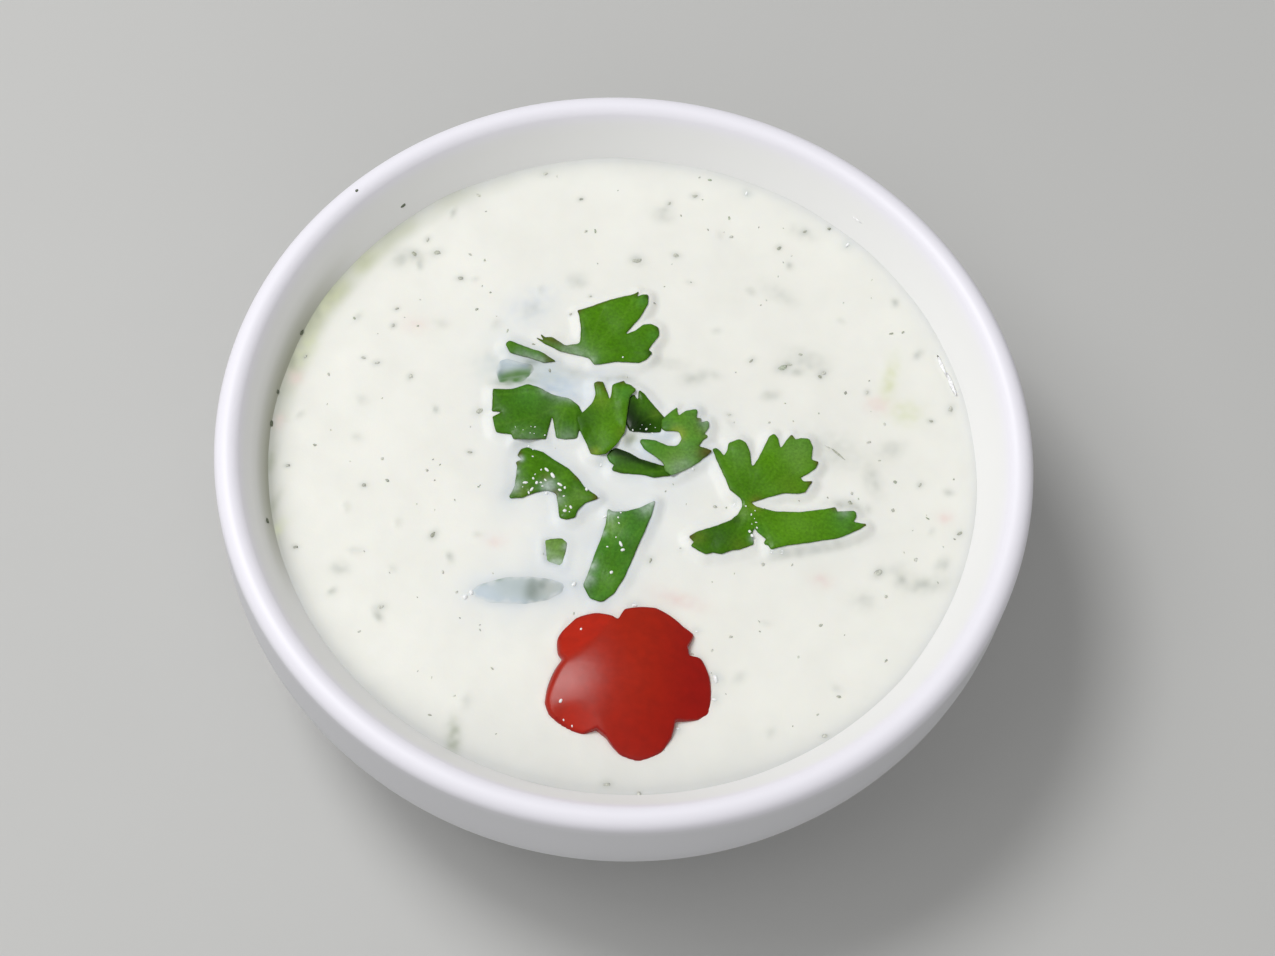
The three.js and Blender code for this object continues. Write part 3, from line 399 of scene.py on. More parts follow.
LEAVES["leaf_large"] = dict(
    at=(20, -1.5), lift=0.6, rise=(0.01, 0.01), green=LEAF, film=0.3, clearance=1.2,
    stalk=(-1.2, -3.7),
    corners=[
        # the three-lobed upper part
        (-7.2, 4.6, 0.2), (-6.7, 4.9, 0.3), (-6, 4.4, 0.5), (-5.4, 3.6, 0.15), (-5, 4.6, 0.8),
        (-4.9, 5.9, 0.5), (-4.3, 6.2, 0.5), (-3.3, 6.7, 0.8), (-2.3, 6.2, 0.8), (-1.6, 4.8, 1.5),
        (-1.1, 2.2, 0.15), (-0.3, 3.8, 1.5), (0.6, 6.5, 2), (1.1, 7.8, 0.6), (1.8, 8.3, 0.5),
        (2.4, 7.5, 0.6), (2.9, 5.8, 0.15), (3.6, 7.3, 1), (4.4, 8.5, 0.2), (5, 7.6, 0.15),
        (5.8, 8, 0.6), (7.1, 8, 0.6), (7.7, 6.7, 1), (7.6, 4.7, 0.3), (8.7, 4.4, 0.15),
        (8.4, 3.3, 0.6), (7.5, 2.4, 0.8), (6.2, 1.5, 0.12), (6.7, 0.9, 0.4), (8.1, 1.1, 0.12),
        (7.6, 0.2, 0.5), (7.1, -0.8, 0.3), (6, -1.2, 0.8), (4.1, -1.4, 2), (1.6, -2.3, 2),
        # the long part on the right
        (-0.8, -3.5, 0.15), (0.1, -4.1, 0.8), (2.8, -4.5, 2), (6.5, -4.2, 2), (9.4, -3.4, 2),
        (11.7, -2.8, 0.2), (12, -3.5, 0.15), (14.7, -3, 0.4), (14.9, -3.9, 0.5),
        (14.5, -4.8, 0.12), (15.5, -4.9, 0.5), (16.6, -5, 0.15), (15.5, -5.9, 0.8),
        (13.8, -6.9, 1.5), (12.1, -7.8, 2), (6.9, -9.3, 2), (4.4, -10.1, 1), (2.7, -10.8, 0.4),
        (2.3, -10.1, 0.12), (1.5, -9.9, 0.3), (1.9, -9.1, 0.15),
        # the short part on the left, and back to the neck
        (0.6, -8.2, 0.4), (0, -7.5, 0.15), (-0.2, -8.5, 0.8), (0.2, -10.1, 0.4),
        (-1.7, -11.2, 0.8), (-3.1, -11.6, 0.3), (-4.4, -12.3, 0.5), (-5.7, -12.2, 0.3),
        (-6.7, -12.6, 0.5), (-7.9, -12.1, 0.5), (-9, -11.5, 0.15), (-8.6, -10.8, 0.12),
        (-9.5, -10.1, 0.25), (-8.3, -9.1, 1), (-5.6, -7.9, 2), (-3.5, -6.6, 1.5), (-2.5, -5.5, 1),
        (-2, -4.2, 0.8), (-2.3, -3.1, 1), (-4.1, -1.9, 0.5), (-4.9, 0, 2), (-6.5, 2.9, 2)],
    tips=[(-6.7, 4.5), (-4.5, 5.7), (-3.1, 6.2), (1.8, 7.6), (4.3, 7.8), (6.1, 7.5), (7.4, 6.5),
        (8.3, 4.1), (7.8, 0.9), (11.5, -3.3), (14.6, -3.6), (16.2, -5.1), (6.9, -8.9),
        (2.8, -10.4), (-9, -9.9), (-8.7, -11.4), (-6.7, -12.2), (-4.5, -12)],
    tones=[DEEP, (-6.7, 4.4, 0.5, 0.7), BLUISH, (-3.2, 4.5, 1.2, 0.5),
        BRIGHT, (1.7, 4.6, 2.2, 0.4), BLUISH, (5.8, 6.4, 1.4, 0.65), BRIGHT, (6.4, 4, 1.4, 0.6),
        DEEP, (-1.5, -0.8, 2, 0.3), OLIVE, (4.8, -0.4, 1.6, 0.35), BROWN, (8.6, 4.3, 0.4, 0.9),
        (7.9, 1, 0.5, 0.9), (4.4, 8.3, 0.4, 0.8), (0.1, -3.2, 0.6, 0.6), (11.5, -3, 0.4, 0.8),
        (16.4, -5.1, 0.4, 0.9), BRIGHT, (6.2, -6.4, 3, 0.7), BLUISH, (13.2, -4.7, 1.8, 0.6),
        (0.7, -8.1, 0.8, 0.6), DEEP, (-5.2, -9.6, 2.8, 0.95), OLIVE, (-8.1, -10, 0.9, 0.6),
        BROWN, (-9.3, -10, 0.5, 0.8), PALE, (-1.7, -5.4, 0.7, 0.5), YELLOWISH, (0, -3.9, 0.7, 0.6),
        NIGHT, (-2.9, -6.6, 0.6, 0.5), OLIVE, (-1.9, -10.7, 1, 0.4),
        PALE, (5.6, 5.6, (1.6, 2.2), 0.5), (-3, 4.4, (1.2, 1.8), 0.3),
        DEEP, (14.2, -5.8, 0.5, 0.5), (12.6, -4.6, 0.4, 0.5), (15, -4, 0.3, 0.5),
        MILKY, (0, -9.3, 0.4, 0.5), (13, -3.3, 0.7, 0.3)],
    beads=[(-0.6, -5.6, 0.45), (-0.6, -8.3, 0.5), (-0.2, -8.9, 0.6), (-0.1, -4.9, 0.22),
        (0.4, -7.6, 0.38), (0.2, -6.8, 0.35), (-1.5, -4.3, 0.3), (-0.1, -6.2, 0.2),
        (-0.4, -7.1, 0.2), (-3.1, -4, 0.6), (2.9, -11.1, 0.4), (4.4, -11, 0.4)],
)

# A shred of herb coated by the dip, beside the strip.
SHRED = dict(
    at=(-17.8, 12.4), green=srgb(192, 205, 210), fade=0.85,
    corners=[(-2.5, -2.1, 0.4), (-3.2, 0, 1), (-2.8, 2.2, 0.8), (-1.6, 2.6, 0.8), (0.4, 2.2, 1),
        (2.6, 1.8, 0.6), (3.1, 0.7, 0.6), (2.4, -0.5, 1), (1.5, -1.6, 0.8), (-0.4, -2.1, 1)],
    tones=[COATED_GREEN, (0.2, -0.6, (2.2, 0.9), 1, 14), COATED_DARK, (1.9, 1.6, (0.9, 0.6), 0.95),
        (-2.3, -0.4, (0.5, 0.8), 0.7), OLIVE_FILM, (2.5, 1.3, 0.5, 0.8),
        MID, (-0.2, -1.4, (2.1, 0.7), 1, 10), (0.3, -0.3, (2, 0.5), 1, 14),
        WHEY_WHITE, (0, -0.7, (1.6, 0.1), 0.12, 14)],
)

# The flower's outline from its middle, and the arcs beyond which its skin bends down:
# [turn, distance of the arc from the middle, its radius, how steeply it falls].
FLOWER_CORNERS = [
    (-9.4, 1.7, 0.6), (-9.9, 4.2, 2), (-8.6, 7.6, 3), (-4.7, 8.8, 3), (-2.3, 8.2, 0.8),
    (-1.4, 7.6, 0.3), (-0.6, 9.6, 0.8), (3.9, 10.5, 1.2), (8.1, 8, 1), (9.8, 7, 0.4),
    (9, 4.9, 0.8), (9.4, 3.4, 0.4), (11.1, 3.5, 1), (12.6, 0.8, 2), (13.1, -3, 2), (13, -4.8, 0.8),
    (11.4, -5.9, 1.5), (8.3, -6.5, 0.5), (8, -9, 2), (6.8, -11.3, 2), (3.8, -13.1, 2.5),
    (0.9, -12.4, 2), (-1.3, -10.1, 2), (-2.8, -9.1, 0.4), (-4.6, -10, 1.5), (-6.7, -9.5, 1),
    (-9.7, -7.5, 0.8), (-10.5, -5.8, 1), (-10, -1.9, 2), (-8.7, 0.9, 0.6),
]
FLOWER_CREASES = [(140.6, 5.6, 14.7, 0.22), (-120.6, 7.75, 4.7, 0.24)]
FLOWER_CUT_TURN = 190  # the knife left a wider slope on this side
# white drops on the pepper skin: painted highlights
FLOWER_BEADS = [(-6.5, 5.7, 0.45), (-8.2, -5.7, 0.75), (-7.5, -8.2, 0.4), (-6.2, -8.9, 0.4)]

# Drops and bubbles on the dip, white so that they stand for its glints as painted highlights: [x,
# y, length, turn].
DIP_DROPS = [
    (16.4, -33.1, 1.3, -70), (16.5, -36.3, 0.8, 0), (11.7, -41.3, 0.7, 0), (3.8, -23.2, 0.9, 0),
    (13.1, -26.1, 0.5, 0), (13.9, -30.6, 0.6, 0), (-3.4, -1.1, 0.4, 0), (-14.4, 0.7, 0.4, 0),
    (-5.3, -20.9, 0.5, 0), (10.2, 0, 0.4, 0), (23, -12.3, 0.4, 0), (24.4, -12.2, 0.4, 0),
    (16.9, -5.2, 0.4, 0), (1.7, -13.6, 0.6, 40), (14.3, 48.7, 0.8, 80), (30.7, 41.3, 0.9, 60),
]

# Herb in the dip where it shows best: flecks [x, y, length, turn, green share].
NOTED_FLECKS = [
    (-17.3, 48.1, 0.9, 20, 0.3), (-33.9, 34, 0.8, 80, 0.2), (-35.6, 31.2, 1.1, 150, 0.3),
    (-32.2, 31.9, 1.2, 25, 0.3), (-28, 27.8, 1, 10, 0.3), (-40.7, 12.2, 0.7, 0, 0.2),
    (-38.6, 11.6, 0.9, 20, 0.2), (-33.3, 10, 0.9, 70, 0.3), (-49.2, -7.1, 0.7, 10, 0.1),
    (-22.9, -1.5, 0.8, 0, 0.3), (-26.6, -15.5, 1.1, 60, 0.2), (-32.6, -27.9, 1.1, 30, 0.4),
    (-37.1, 18.3, 0.8, 65, 0.2), (2.6, -50.9, 1.2, 15, 0.3), (7.2, -52, 0.8, 80, 0.2),
    (5.4, -15.7, 0.9, 80, 0.3), (48.1, 14.7, 1.1, 75, 0.2), (45.2, 12.3, 0.7, 0, 0.3),
    (50.4, -5.9, 0.9, 30, 0.3), (38.8, -13.6, 1.3, 40, 0.5), (32.7, -40.1, 0.8, 10, 0.4),
    (6.3, 47.2, 0.9, 20, 0.3), (2.4, 45.2, 0.8, 60, 0.3), (-1.5, 34.5, 1.5, 5, 0.3),
    (4.4, 36.1, 1, 170, 0.3), (22.2, 18.5, 1.5, 38, 1), (23.2, 19.2, 0.9, 10, 0.8),
    (28.5, 18.4, 0.9, 55, 0.3), (28, 17.7, 0.7, 120, 0.2), (17.4, 19.1, 0.9, 50, 0.2),
    (14.8, 9.6, 0.7, 0, 0.3), (20.1, 39.5, 0.9, 50, 0.4), (-11.3, 44.3, 0.7, 20, 0.2),
    (35.3, 16, 0.7, 80, 0.3), (33.9, -3, 1.1, 120, 0.4), (-22.3, 5.5, 1.3, 40, 0.4),
    (-10.6, 23.6, 0.6, 30, 0.1), (44.1, 1.4, 0.8, 60, 0.4), (-46.1, -20, 0.8, 20, 0.2),
    (-37.7, -8.8, 0.8, 10, 0.2), (23.9, 43, 0.8, 30, 0.3), (-8, 27.2, 0.5, 0, 0.2),
    (27.6, 43.8, 0.7, 20, 0.3), (-36.9, 21.3, 0.7, 30, 0.2), (-49.4, 11.3, 0.8, 60, 0.2),
]
STALK = [(29.4, 6.2), (30.8, 5.6), (32.6, 4.2)]  # a thin end of stalk on the dip

# Herb under a thin cover of dip, and one painted shadow: colours with their soft smudges [x, y,
# reach, turn, strength].
SMUDGES = [
    WHEY_BLUE, (-10.8, 11, (3.4, 2), -10, 1.1), COATED_BLUE, (-13, 12.8, (1.8, 0.8), -10, 0.6),
    WHEY_WHITE, (-6.6, 9.2, (1.6, 2.2), 10, 0.8), (-4.6, 13.2, (2.6, 1.5), 0, 0.8),
    HERB_GREY, (-8.7, 13.3, (1.6, 0.6), -10, 0.5), COATED_BLUE, (-18.4, 13.4, (3.4, 2.2), 0, 0.7),
    DARK_HERB, (-15.7, 14.2, (0.9, 0.6), 0, 0.8), COATED_GREEN, (-17.7, 10.9, (1.9, 0.5), 8, 0.7),
    # the grey smudge at (29, -11.2) is a painted shadow below leaf_large's long part
    HERB_GREY, (29, -11.2, (5, 0.6), 19, 0.6), (-1.9, 13.6, (1.4, 0.6), 10, 0.7),
    OLIVE_FILM, (0.4, 3.6, (1, 0.9), -40, 0.9), WHEY_BLUE, (5.2, 4.5, (1.2, 0.6), 0, 0.9),
    (3.1, 1.5, (1.5, 0.7), -35, 0.9), DEEP_HERB, (-19.6, -46.6, (0.7, 1.9), 5, 0.7),
    HERB_GREY, (45.7, -14.8, (2, 0.9), 10, 0.8), (-10.2, 29.6, (1.1, 0.9), 0, 0.55),
    WHEY_WHITE, (-16.7, 24.4, (3.4, 2.2), 45, 0.8), HERB_GREY, (-16.7, 23.8, (1.2, 0.9), 45, 0.4),
    (9.3, 15.3, (1.6, 0.8), 20, 0.6), (4.9, 17.1, (1.8, 0.7), 0, 0.4),
    (37, 1.3, (0.9, 1.7), 15, 0.6), (39.6, 6.7, (1.4, 1), 30, 0.5), (31.2, 5.4, (3, 2), -20, 0.4),
    (33.3, -3.5, (2, 0.7), -5, 0.7), (1.7, 43.1, (1, 0.9), 0, 0.5),
    (23.6, 42.7, (1.6, 0.9), -20, 0.4), (26, 20.2, (2.2, 1.3), -20, 0.5),
    (36.9, -18.3, (1.2, 1), 0, 0.45), (-35.6, 31.1, (1.6, 0.8), -20, 0.35),
    (-37.5, 29.9, (1.2, 1), 20, 0.6), (-39.2, -22.5, (1, 0.8), 0, 0.6),
    (20.9, 31.2, (2, 0.9), -30, 0.35), (41.5, -13, (1.6, 1), 0, 0.35),
    OIL_GREEN, (38.6, 18.5, (0.8, 2.6), -8, 0.8), (41.4, 13.2, (1.6, 1.4), 0, 0.7),
    (-49.6, 12.5, (1, 2.6), -15, 0.8), (-47.4, 21.5, (1.2, 3.2), -28, 0.7),
    (-43.4, 28.6, (1.2, 2.4), -35, 0.4), OLIVE_FILM, (-48.9, 19.2, (0.4, 1), 22, 0.5),
    (-51.2, 10.1, (0.4, 1.2), 12, 0.5), PINK, (-50.3, 7.7, (0.8, 0.9), 0, 0.8),
    (-51.4, -0.2, (0.6, 0.9), 0, 0.6), OLIVE_FILM, (-51.9, -7.3, (0.5, 1.6), -8, 0.6),
    (-50.4, -14.3, (0.4, 1.8), -16, 0.5), OIL_GREEN, (-49.2, -18.1, (0.6, 1.6), -20, 0.7),
    PINK, (-33.8, 18.8, (1.4, 1), 0, 0.6), (48.1, -3.6, (0.9, 0.8), 0, 0.7),
    (30.6, -15.9, (1.1, 0.8), 0, 0.7), (37, 14, (1.3, 1.1), 0, 0.7),
    (10.2, -21.5, (2.6, 0.9), -12, 0.8), (-17.5, -15.5, (1.2, 0.8), 0, 0.5),
]

# ------------------------------------------------------------------------------ helpers


def dice(seed):
    """Random numbers from 0 to 1, the same on each run."""
    state = seed
    while True:
        state = (state * 1664525 + 1013904223) % 2 ** 32
        yield state / 2 ** 32


def smooth_step(value):
    share = np.clip(value, 0, 1)
    return share * share * (3 - 2 * share)


def lumps(x, y, size, seed):
    """Smooth noise from about -1 to 1 at each place."""
    places = zip((x / size).tolist(), (y / size).tolist())
    return np.array([noise.noise(Vector((a, b, seed))) for a, b in places])


def patchy(x, y, size, seed):
    """An uneven strength for a spot of colour."""
    return 0.8 + 0.5 * lumps(x, y, size, seed)


def patches(x, y, size, seed, share=0.4):
    """Uneven patches from 0 to 1."""
    return np.clip(share + lumps(x, y, size, seed), 0, 1)


def rounded(corners, closed=True, arc_turn=8 * RAD):
    """A line through corners [x, y, rounding], each rounded by an arc that touches both sides."""
    straight, half_side = 0.01, 0.48  # the arcs of two corners don't meet
    points = []
    for i, (x, y, *rounding) in enumerate(corners):
        middle = Vector((x, y))
        before = Vector(corners[i - 1][:2]) - middle
        after = Vector(corners[(i + 1) % len(corners)][:2]) - middle
        turn = math.pi - before.angle(after)
        if not rounding or turn < straight:
            points.append(middle)
            continue
        room = half_side * min(before.length, after.length)
        reach = min(rounding[0] * math.tan(turn / 2), room if closed else 2 * room)
        radius = reach / math.tan(turn / 2)
        inward = (before.normalized() + after.normalized()).normalized()
        centre = middle + inward * (radius / math.cos(turn / 2))
        start = middle + before.normalized() * reach - centre
        side = 1 if before.x * after.y - before.y * after.x > 0 else -1
        steps = max(1, round(turn / arc_turn))
        for step in range(steps + 1):
            points.append(centre + Matrix.Rotation(-side * turn * step / steps, 2) @ start)
    return np.array([tuple(p) for p in points])


def spaced(points, pitch):
    """A closed line of evenly spaced points."""
    loop = np.vstack([points, points[:1]])
    travelled = np.concatenate([[0], np.cumsum(np.hypot(*np.diff(loop, axis=0).T))])
    stops = np.linspace(0, travelled[-1], max(8, round(travelled[-1] / pitch)), endpoint=False)
    return np.column_stack([np.interp(stops, travelled, loop[:, axis]) for axis in (0, 1)])


def distance_to_line(x, y, line, closed=True):
    """The distance from each place to the nearest side of a line of points."""
    least = np.full(len(x), np.inf)
    for (ax, ay), (bx, by) in zip(line if closed else line[:-1], np.roll(line, -1, axis=0)):
        dx, dy = bx - ax, by - ay
        share = np.clip(((x - ax) * dx + (y - ay) * dy) / max(dx * dx + dy * dy, 1e-12), 0, 1)
        least = np.minimum(least, np.hypot(x - ax - share * dx, y - ay - share * dy))
    return least


def depth_inside(x, y, outline):
    """How far each place lies inside a closed outline; less than 0 outside it."""
    inside = np.zeros(len(x), bool)
    for (ax, ay), (bx, by) in zip(outline, np.roll(outline, -1, axis=0)):
        crossing = ax + (y - ay) * (bx - ax) / (by - ay if by != ay else 1e-12)
        inside ^= ((ay > y) != (by > y)) & (x < crossing)
    return distance_to_line(x, y, outline) * np.where(inside, 1, -1)


def soft_spot(x, y, at, reach, turn=0.0):
    """1 at a place, falling off smoothly with distance."""
    cos, sin = math.cos(turn * RAD), math.sin(turn * RAD)
    along = (x - at[0]) * cos + (y - at[1]) * sin
    across = (y - at[1]) * cos - (x - at[0]) * sin
    reach_x, reach_y = reach if isinstance(reach, tuple) else (reach, reach)
    return np.exp(-((along / reach_x) ** 2 + (across / reach_y) ** 2) / 2)


def painted(tones, weight, colour):
    """Tones with a colour laid over them by a weight."""
    share = np.reshape(np.clip(weight, 0, 1), (-1, 1))
    return tones * (1 - share) + np.asarray(colour) * share


def coloured(spots):
    """Each spot after the colour that stands before it in the list."""
    for spot in spots:
        if isinstance(spot, tuple):
            yield colour, *spot
        else:
            colour = spot


def add_object(name, data):
    made = bpy.data.objects.new(name, data)
    bpy.context.scene.collection.objects.link(made)
    return made


def add_mesh(name, points, faces, material):
    """A mesh object from points in millimetres."""
    mesh = bpy.data.meshes.new(name)
    mesh.from_pydata((np.asarray(points, float) * MM).tolist(), [], faces)
    mesh.validate()
    mesh.materials.append(material)
    return add_object(name, mesh)


def make_piece(name, points, faces, material, slot, replaces=(), tones=None, wetness=None):
    """A smooth-shaded piece of the part."""
    piece = add_mesh(name, points, faces, material)
    mesh = piece.data
    if tones is not None:
        layer = mesh.color_attributes.new("tone", "FLOAT_COLOR", "POINT")
        layer.data.foreach_set("color", np.column_stack([tones, np.ones(len(tones))]).ravel())
    if wetness is not None:
        layer = mesh.attributes.new("wetness", "FLOAT", "POINT")
        layer.data.foreach_set("value", wetness)
    mesh.polygons.foreach_set("use_smooth", [True] * len(mesh.polygons))
    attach(piece, "root")
    if replaces:
        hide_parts(*replaces)
    return piece


def ring_of(radius, height, angles, centre=(0, 0)):
    """A ring of points round an upright axis."""
    x, y = centre[0] + radius * np.cos(angles), centre[1] + radius * np.sin(angles)
    return np.column_stack([x, y, height + np.zeros(len(angles))])


def ring_faces(rows, segments, first=0):
    """Quads between closed rings of points that follow each other."""
    return [
        (low + i, low + j, low + segments + j, low + segments + i)
        for low in range(first, first + (rows - 1) * segments, segments)
        for i, j in zip(range(segments), [*range(1, segments), 0])
    ]


def closed_faces(rows, segments, start, end, first=0):
    """The faces of rings, closed by fans to a start point and an end point."""
    faces = ring_faces(rows, segments, first)
    last = first + (rows - 1) * segments
    for i in range(segments):
        j = (i + 1) % segments
        faces += [(start, first + j, first + i), (end, last + i, last + j)]
    return faces


# ---------------------------------------------------------------------------- materials


class Shader:
    """A node material with one Principled surface. Names of sockets have _ for a space."""

    def __init__(self, name):
        self.material = bpy.data.materials.new(name)
        self.material.use_nodes = True
        self.tree = self.material.node_tree

    def feed(self, target, value):
        """Give an input a link from a socket, or a plain value."""
        if isinstance(value, bpy.types.NodeSocket):
            self.tree.links.new(value, target)
        else:
            target.default_value = value

    def node(self, kind, **inputs):
        made = self.tree.nodes.new("ShaderNode" + kind)
        for key, value in inputs.items():
            self.feed(made.inputs[key.replace("_", " ")], value)
        return made

    def place(self):
        return self.node("TexCoord").outputs["Object"]

    def attribute(self, name, output):
        made = self.node("Attribute")
        made.attribute_name = name
        return made.outputs[output]

    def noise(self, size, detail=2.0, roughness=0.5):
        """Noise with features of a size in millimetres."""
        return self.node(
            "TexNoise", Vector=self.place(), Scale=1 / (size * MM), Detail=detail,
            Roughness=roughness,
        ).outputs["Fac"]

    def ramp(self, factor, low, high, start=0.0, end=1.0):
        """A number that runs from low to high as the factor runs from start to end."""
        return self.node(
            "MapRange", Value=factor, From_Min=start, From_Max=end, To_Min=low, To_Max=high,
        ).outputs["Result"]

    def mix(self, factor, first, second, blend="MIX"):
        """Two colours mixed; each is a socket or a plain colour."""
        made = self.node("Mix")
        made.data_type, made.blend_type = "RGBA", blend
        for name, value in (("Factor", factor), ("A", first), ("B", second)):
            target = [s for s in made.inputs if s.name == name and s.enabled][-1]
            self.feed(target, (*value, 1) if isinstance(value, np.ndarray) else value)
        return [s for s in made.outputs if s.enabled][0]

    def bump(self, size, detail, depth, roughness=0.5, **below):
        """Relief of a depth in millimetres."""
        height = self.noise(size, detail, roughness)
        return self.node("Bump", Height=height, Distance=depth * MM, **below).outputs["Normal"]

    def mottled(self, grain, low, high, start=0.3, end=0.7):
        """The painted tones, made darker and lighter by a noise."""
        tone = self.attribute("tone", "Color")
        return self.mix(1.0, tone, self.ramp(grain, low, high, start, end), "MULTIPLY")

    def made(self, **inputs):
        """The material, once its surface has its inputs."""
        for key, value in inputs.items():
            surface = self.tree.nodes["Principled BSDF"]
            self.feed(surface.inputs[key.replace("_", " ")], value)
        return self.material


def glaze_material():
    """White glaze in its painted tones, with bare stoneware under the foot."""
    shader = Shader("bowl_glaze")
    height = shader.node("SeparateXYZ", Vector=shader.place()).outputs["Z"]
    bare = shader.ramp(height, 1, 0, BARE_HEIGHT * MM, 2 * BARE_HEIGHT * MM)
    glaze = shader.mottled(shader.noise(14), 0.985, 1.0, 0, 1)
    clay = shader.mix(shader.noise(0.8, 4), srgb(206, 192, 170), srgb(224, 214, 196))
    return shader.made(
        Base_Color=shader.mix(bare, glaze, clay), Roughness=shader.ramp(bare, 0.45, 0.85), IOR=1.5,
        Normal=shader.bump(1.6, 2, 0.004, Normal=shader.bump(9, 1, 0.035)),
    )


def dip_material(name="yogurt_dip"):
    """Wet strained yogurt with fine grain."""
    shader = Shader(name)
    return shader.made(
        Base_Color=shader.mottled(shader.noise(6, 3), 0.975, 1.015),
        Roughness=shader.ramp(shader.noise(3.5), 0.4, 0.52), IOR=1.38,
        Normal=shader.bump(0.7, 3, 0.012, 0.6), Subsurface_Weight=0.2,
        Subsurface_Scale=1.5 * MM, Subsurface_Radius=(1, 0.85, 0.6),
    )


def parsley_material():
    """Leaf green with fine cells, glossier where it is wet."""
    shader = Shader("parsley")
    return shader.made(
        Base_Color=shader.mottled(shader.noise(0.45, 3, 0.6), 0.8, 1.18),
        Roughness=shader.ramp(shader.attribute("wetness", "Fac"), 0.55, 0.2),
        Normal=shader.bump(1.1, 2, 0.03, Normal=shader.bump(0.3, 2, 0.01)),
        IOR=1.4, Specular_IOR_Level=0.22,
    )


def pepper_material():
    """Shiny red pepper skin."""
    shader = Shader("red_pepper")
    return shader.made(
        Base_Color=shader.mottled(shader.noise(1.4, 3), 0.92, 1.08),
        Roughness=shader.ramp(shader.noise(4), 0.28, 0.36), Normal=shader.bump(3, 2, 0.03),
        IOR=1.45, Specular_IOR_Level=0.36,
    )


def fleck_material():
    """Chopped dill and pepper specks."""
    shader = Shader("herb_flecks")
    return shader.made(Base_Color=shader.mottled(shader.noise(0.25), 0.75, 1.25), Roughness=0.45)


def bead_material():
    """Cloudy drops of whey, white so that they show as glints: painted highlights."""
    shader = Shader("whey_glint_beads")
    cloudy = shader.mix(shader.noise(0.3), srgb(244, 248, 248), srgb(255, 255, 255))
    return shader.made(Base_Color=cloudy, Roughness=0.08, IOR=1.34)


def floor_material():
    shader = Shader("floor")
    pale = shader.mix(shader.noise(60, 3), srgb(197, 197, 195), srgb(201, 201, 199))
    return shader.made(Base_Color=pale, Roughness=0.7)


# --------------------------------------------------------------------------------- bowl

LIP_CORNER = RIM_RADIUS - LIP_RADIUS * (1 + math.tan((math.pi / 2 - WALL_LEAN) / 2))


def leaning_wall_radius(z):
    return LIP_CORNER - (BOWL_HEIGHT - z) * math.tan(WALL_LEAN)


DIP_RADIUS = leaning_wall_radius(DIP_LEVEL)


def bowl_profile():
    """Radius and height, from the middle of the underside, out and up, to the floor inside."""
    foot_inside = FOOT_RADIUS - FOOT_WIDTH
    line = rounded([
        (0, FOOT_RECESS),
        (foot_inside, FOOT_RECESS, FOOT_ROUNDING / 2),
        (foot_inside, 0, FOOT_ROUNDING),
        (FOOT_RADIUS, 0, FOOT_ROUNDING),
        (FOOT_RADIUS + FOOT_ROUNDING, FOOT_HEIGHT, FOOT_ROUNDING),
        (RIM_RADIUS, FOOT_HEIGHT, BODY_ROUNDING),
        (RIM_RADIUS, BOWL_HEIGHT, LIP_RADIUS),
        (LIP_CORNER, BOWL_HEIGHT, LIP_RADIUS),
        (leaning_wall_radius(KNEE_HEIGHT), KNEE_HEIGHT, KNEE_ROUNDING),
        (WALL_FOOT_RADIUS, FLOOR_HEIGHT, FLOOR_ROUNDING),
        (0, FLOOR_HEIGHT),
    ], closed=False, arc_turn=4 * RAD)
    points = [line[0]]
    for start, end in zip(line[:-1], line[1:]):
        steps = max(1, math.ceil(math.hypot(*(end - start)) / BOWL_SIDE))
        points += [start + (end - start) * (step + 1) / steps for step in range(steps)]
    return np.array(points)


def build_bowl():
    """White glaze, bluish on the lip, greyer outside as painted shade, with painted shade at the
    inner wall's foot on the left.
    """
    profile = bowl_profile()[1:-1]
    angles = np.linspace(0, TURN, BOWL_SEGMENTS, endpoint=False)
    rings = [ring_of(r, z, angles) for r, z in profile]
    points = np.vstack([*rings, [(0, 0, FOOT_RECESS)], [(0, 0, FLOOR_HEIGHT)]])
    middle = len(points) - 2
    faces = closed_faces(len(rings), BOWL_SEGMENTS, middle, middle + 1)
    ring = np.repeat(np.arange(len(rings)), BOWL_SEGMENTS)
    inside = np.concatenate([ring > np.argmax(profile[:, 1]), [False, True]])
    x, _, z = points.T
    lip = smooth_step((z - 37.2) / 2.2)
    # painted shade at the foot of the inner wall on the left
    foot_shade = 0.95 * smooth_step((36.5 - z) / 3.5) * smooth_step((-x - 43) / 9)
    tones = painted(np.where(inside[:, None], GLAZE_INSIDE, GLAZE_OUTSIDE_SHADE), lip, GLAZE_LIP)
    tones = painted(tones, inside * foot_shade, WALL_FOOT_SHADE)
    make_piece("bowl_glazed", points, faces, glaze_material(), "bowl_glaze", ["bowl"], tones)


# ------------------------------------------------------------------------------ outlines


def leaf_outline(leaf, seed):
    """A leaf's outline from its own place, slightly uneven as a cut leaf is."""
    points = spaced(rounded(leaf["corners"]), LEAF_PITCH)
    after = np.roll(points, -1, axis=0) - np.roll(points, 1, axis=0)
    outward = np.column_stack([after[:, 1], -after[:, 0]])
    outward /= np.maximum(np.hypot(*outward.T), 1e-9)[:, None]
    return points + outward * CUT_WOBBLE * lumps(*points.T, CUT_WOBBLE_LENGTH, seed)[:, None]


for name, leaf in LEAVES.items():
    leaf["outline"] = leaf_outline(leaf, 3.0 + len(name))
SHRED["outline"] = leaf_outline(SHRED, 15.0)
FLOWER_LINE = rounded(FLOWER_CORNERS)
FLOWER_OUTLINE = spaced(FLOWER_LINE, FLOWER_PITCH) + FLOWER_AT


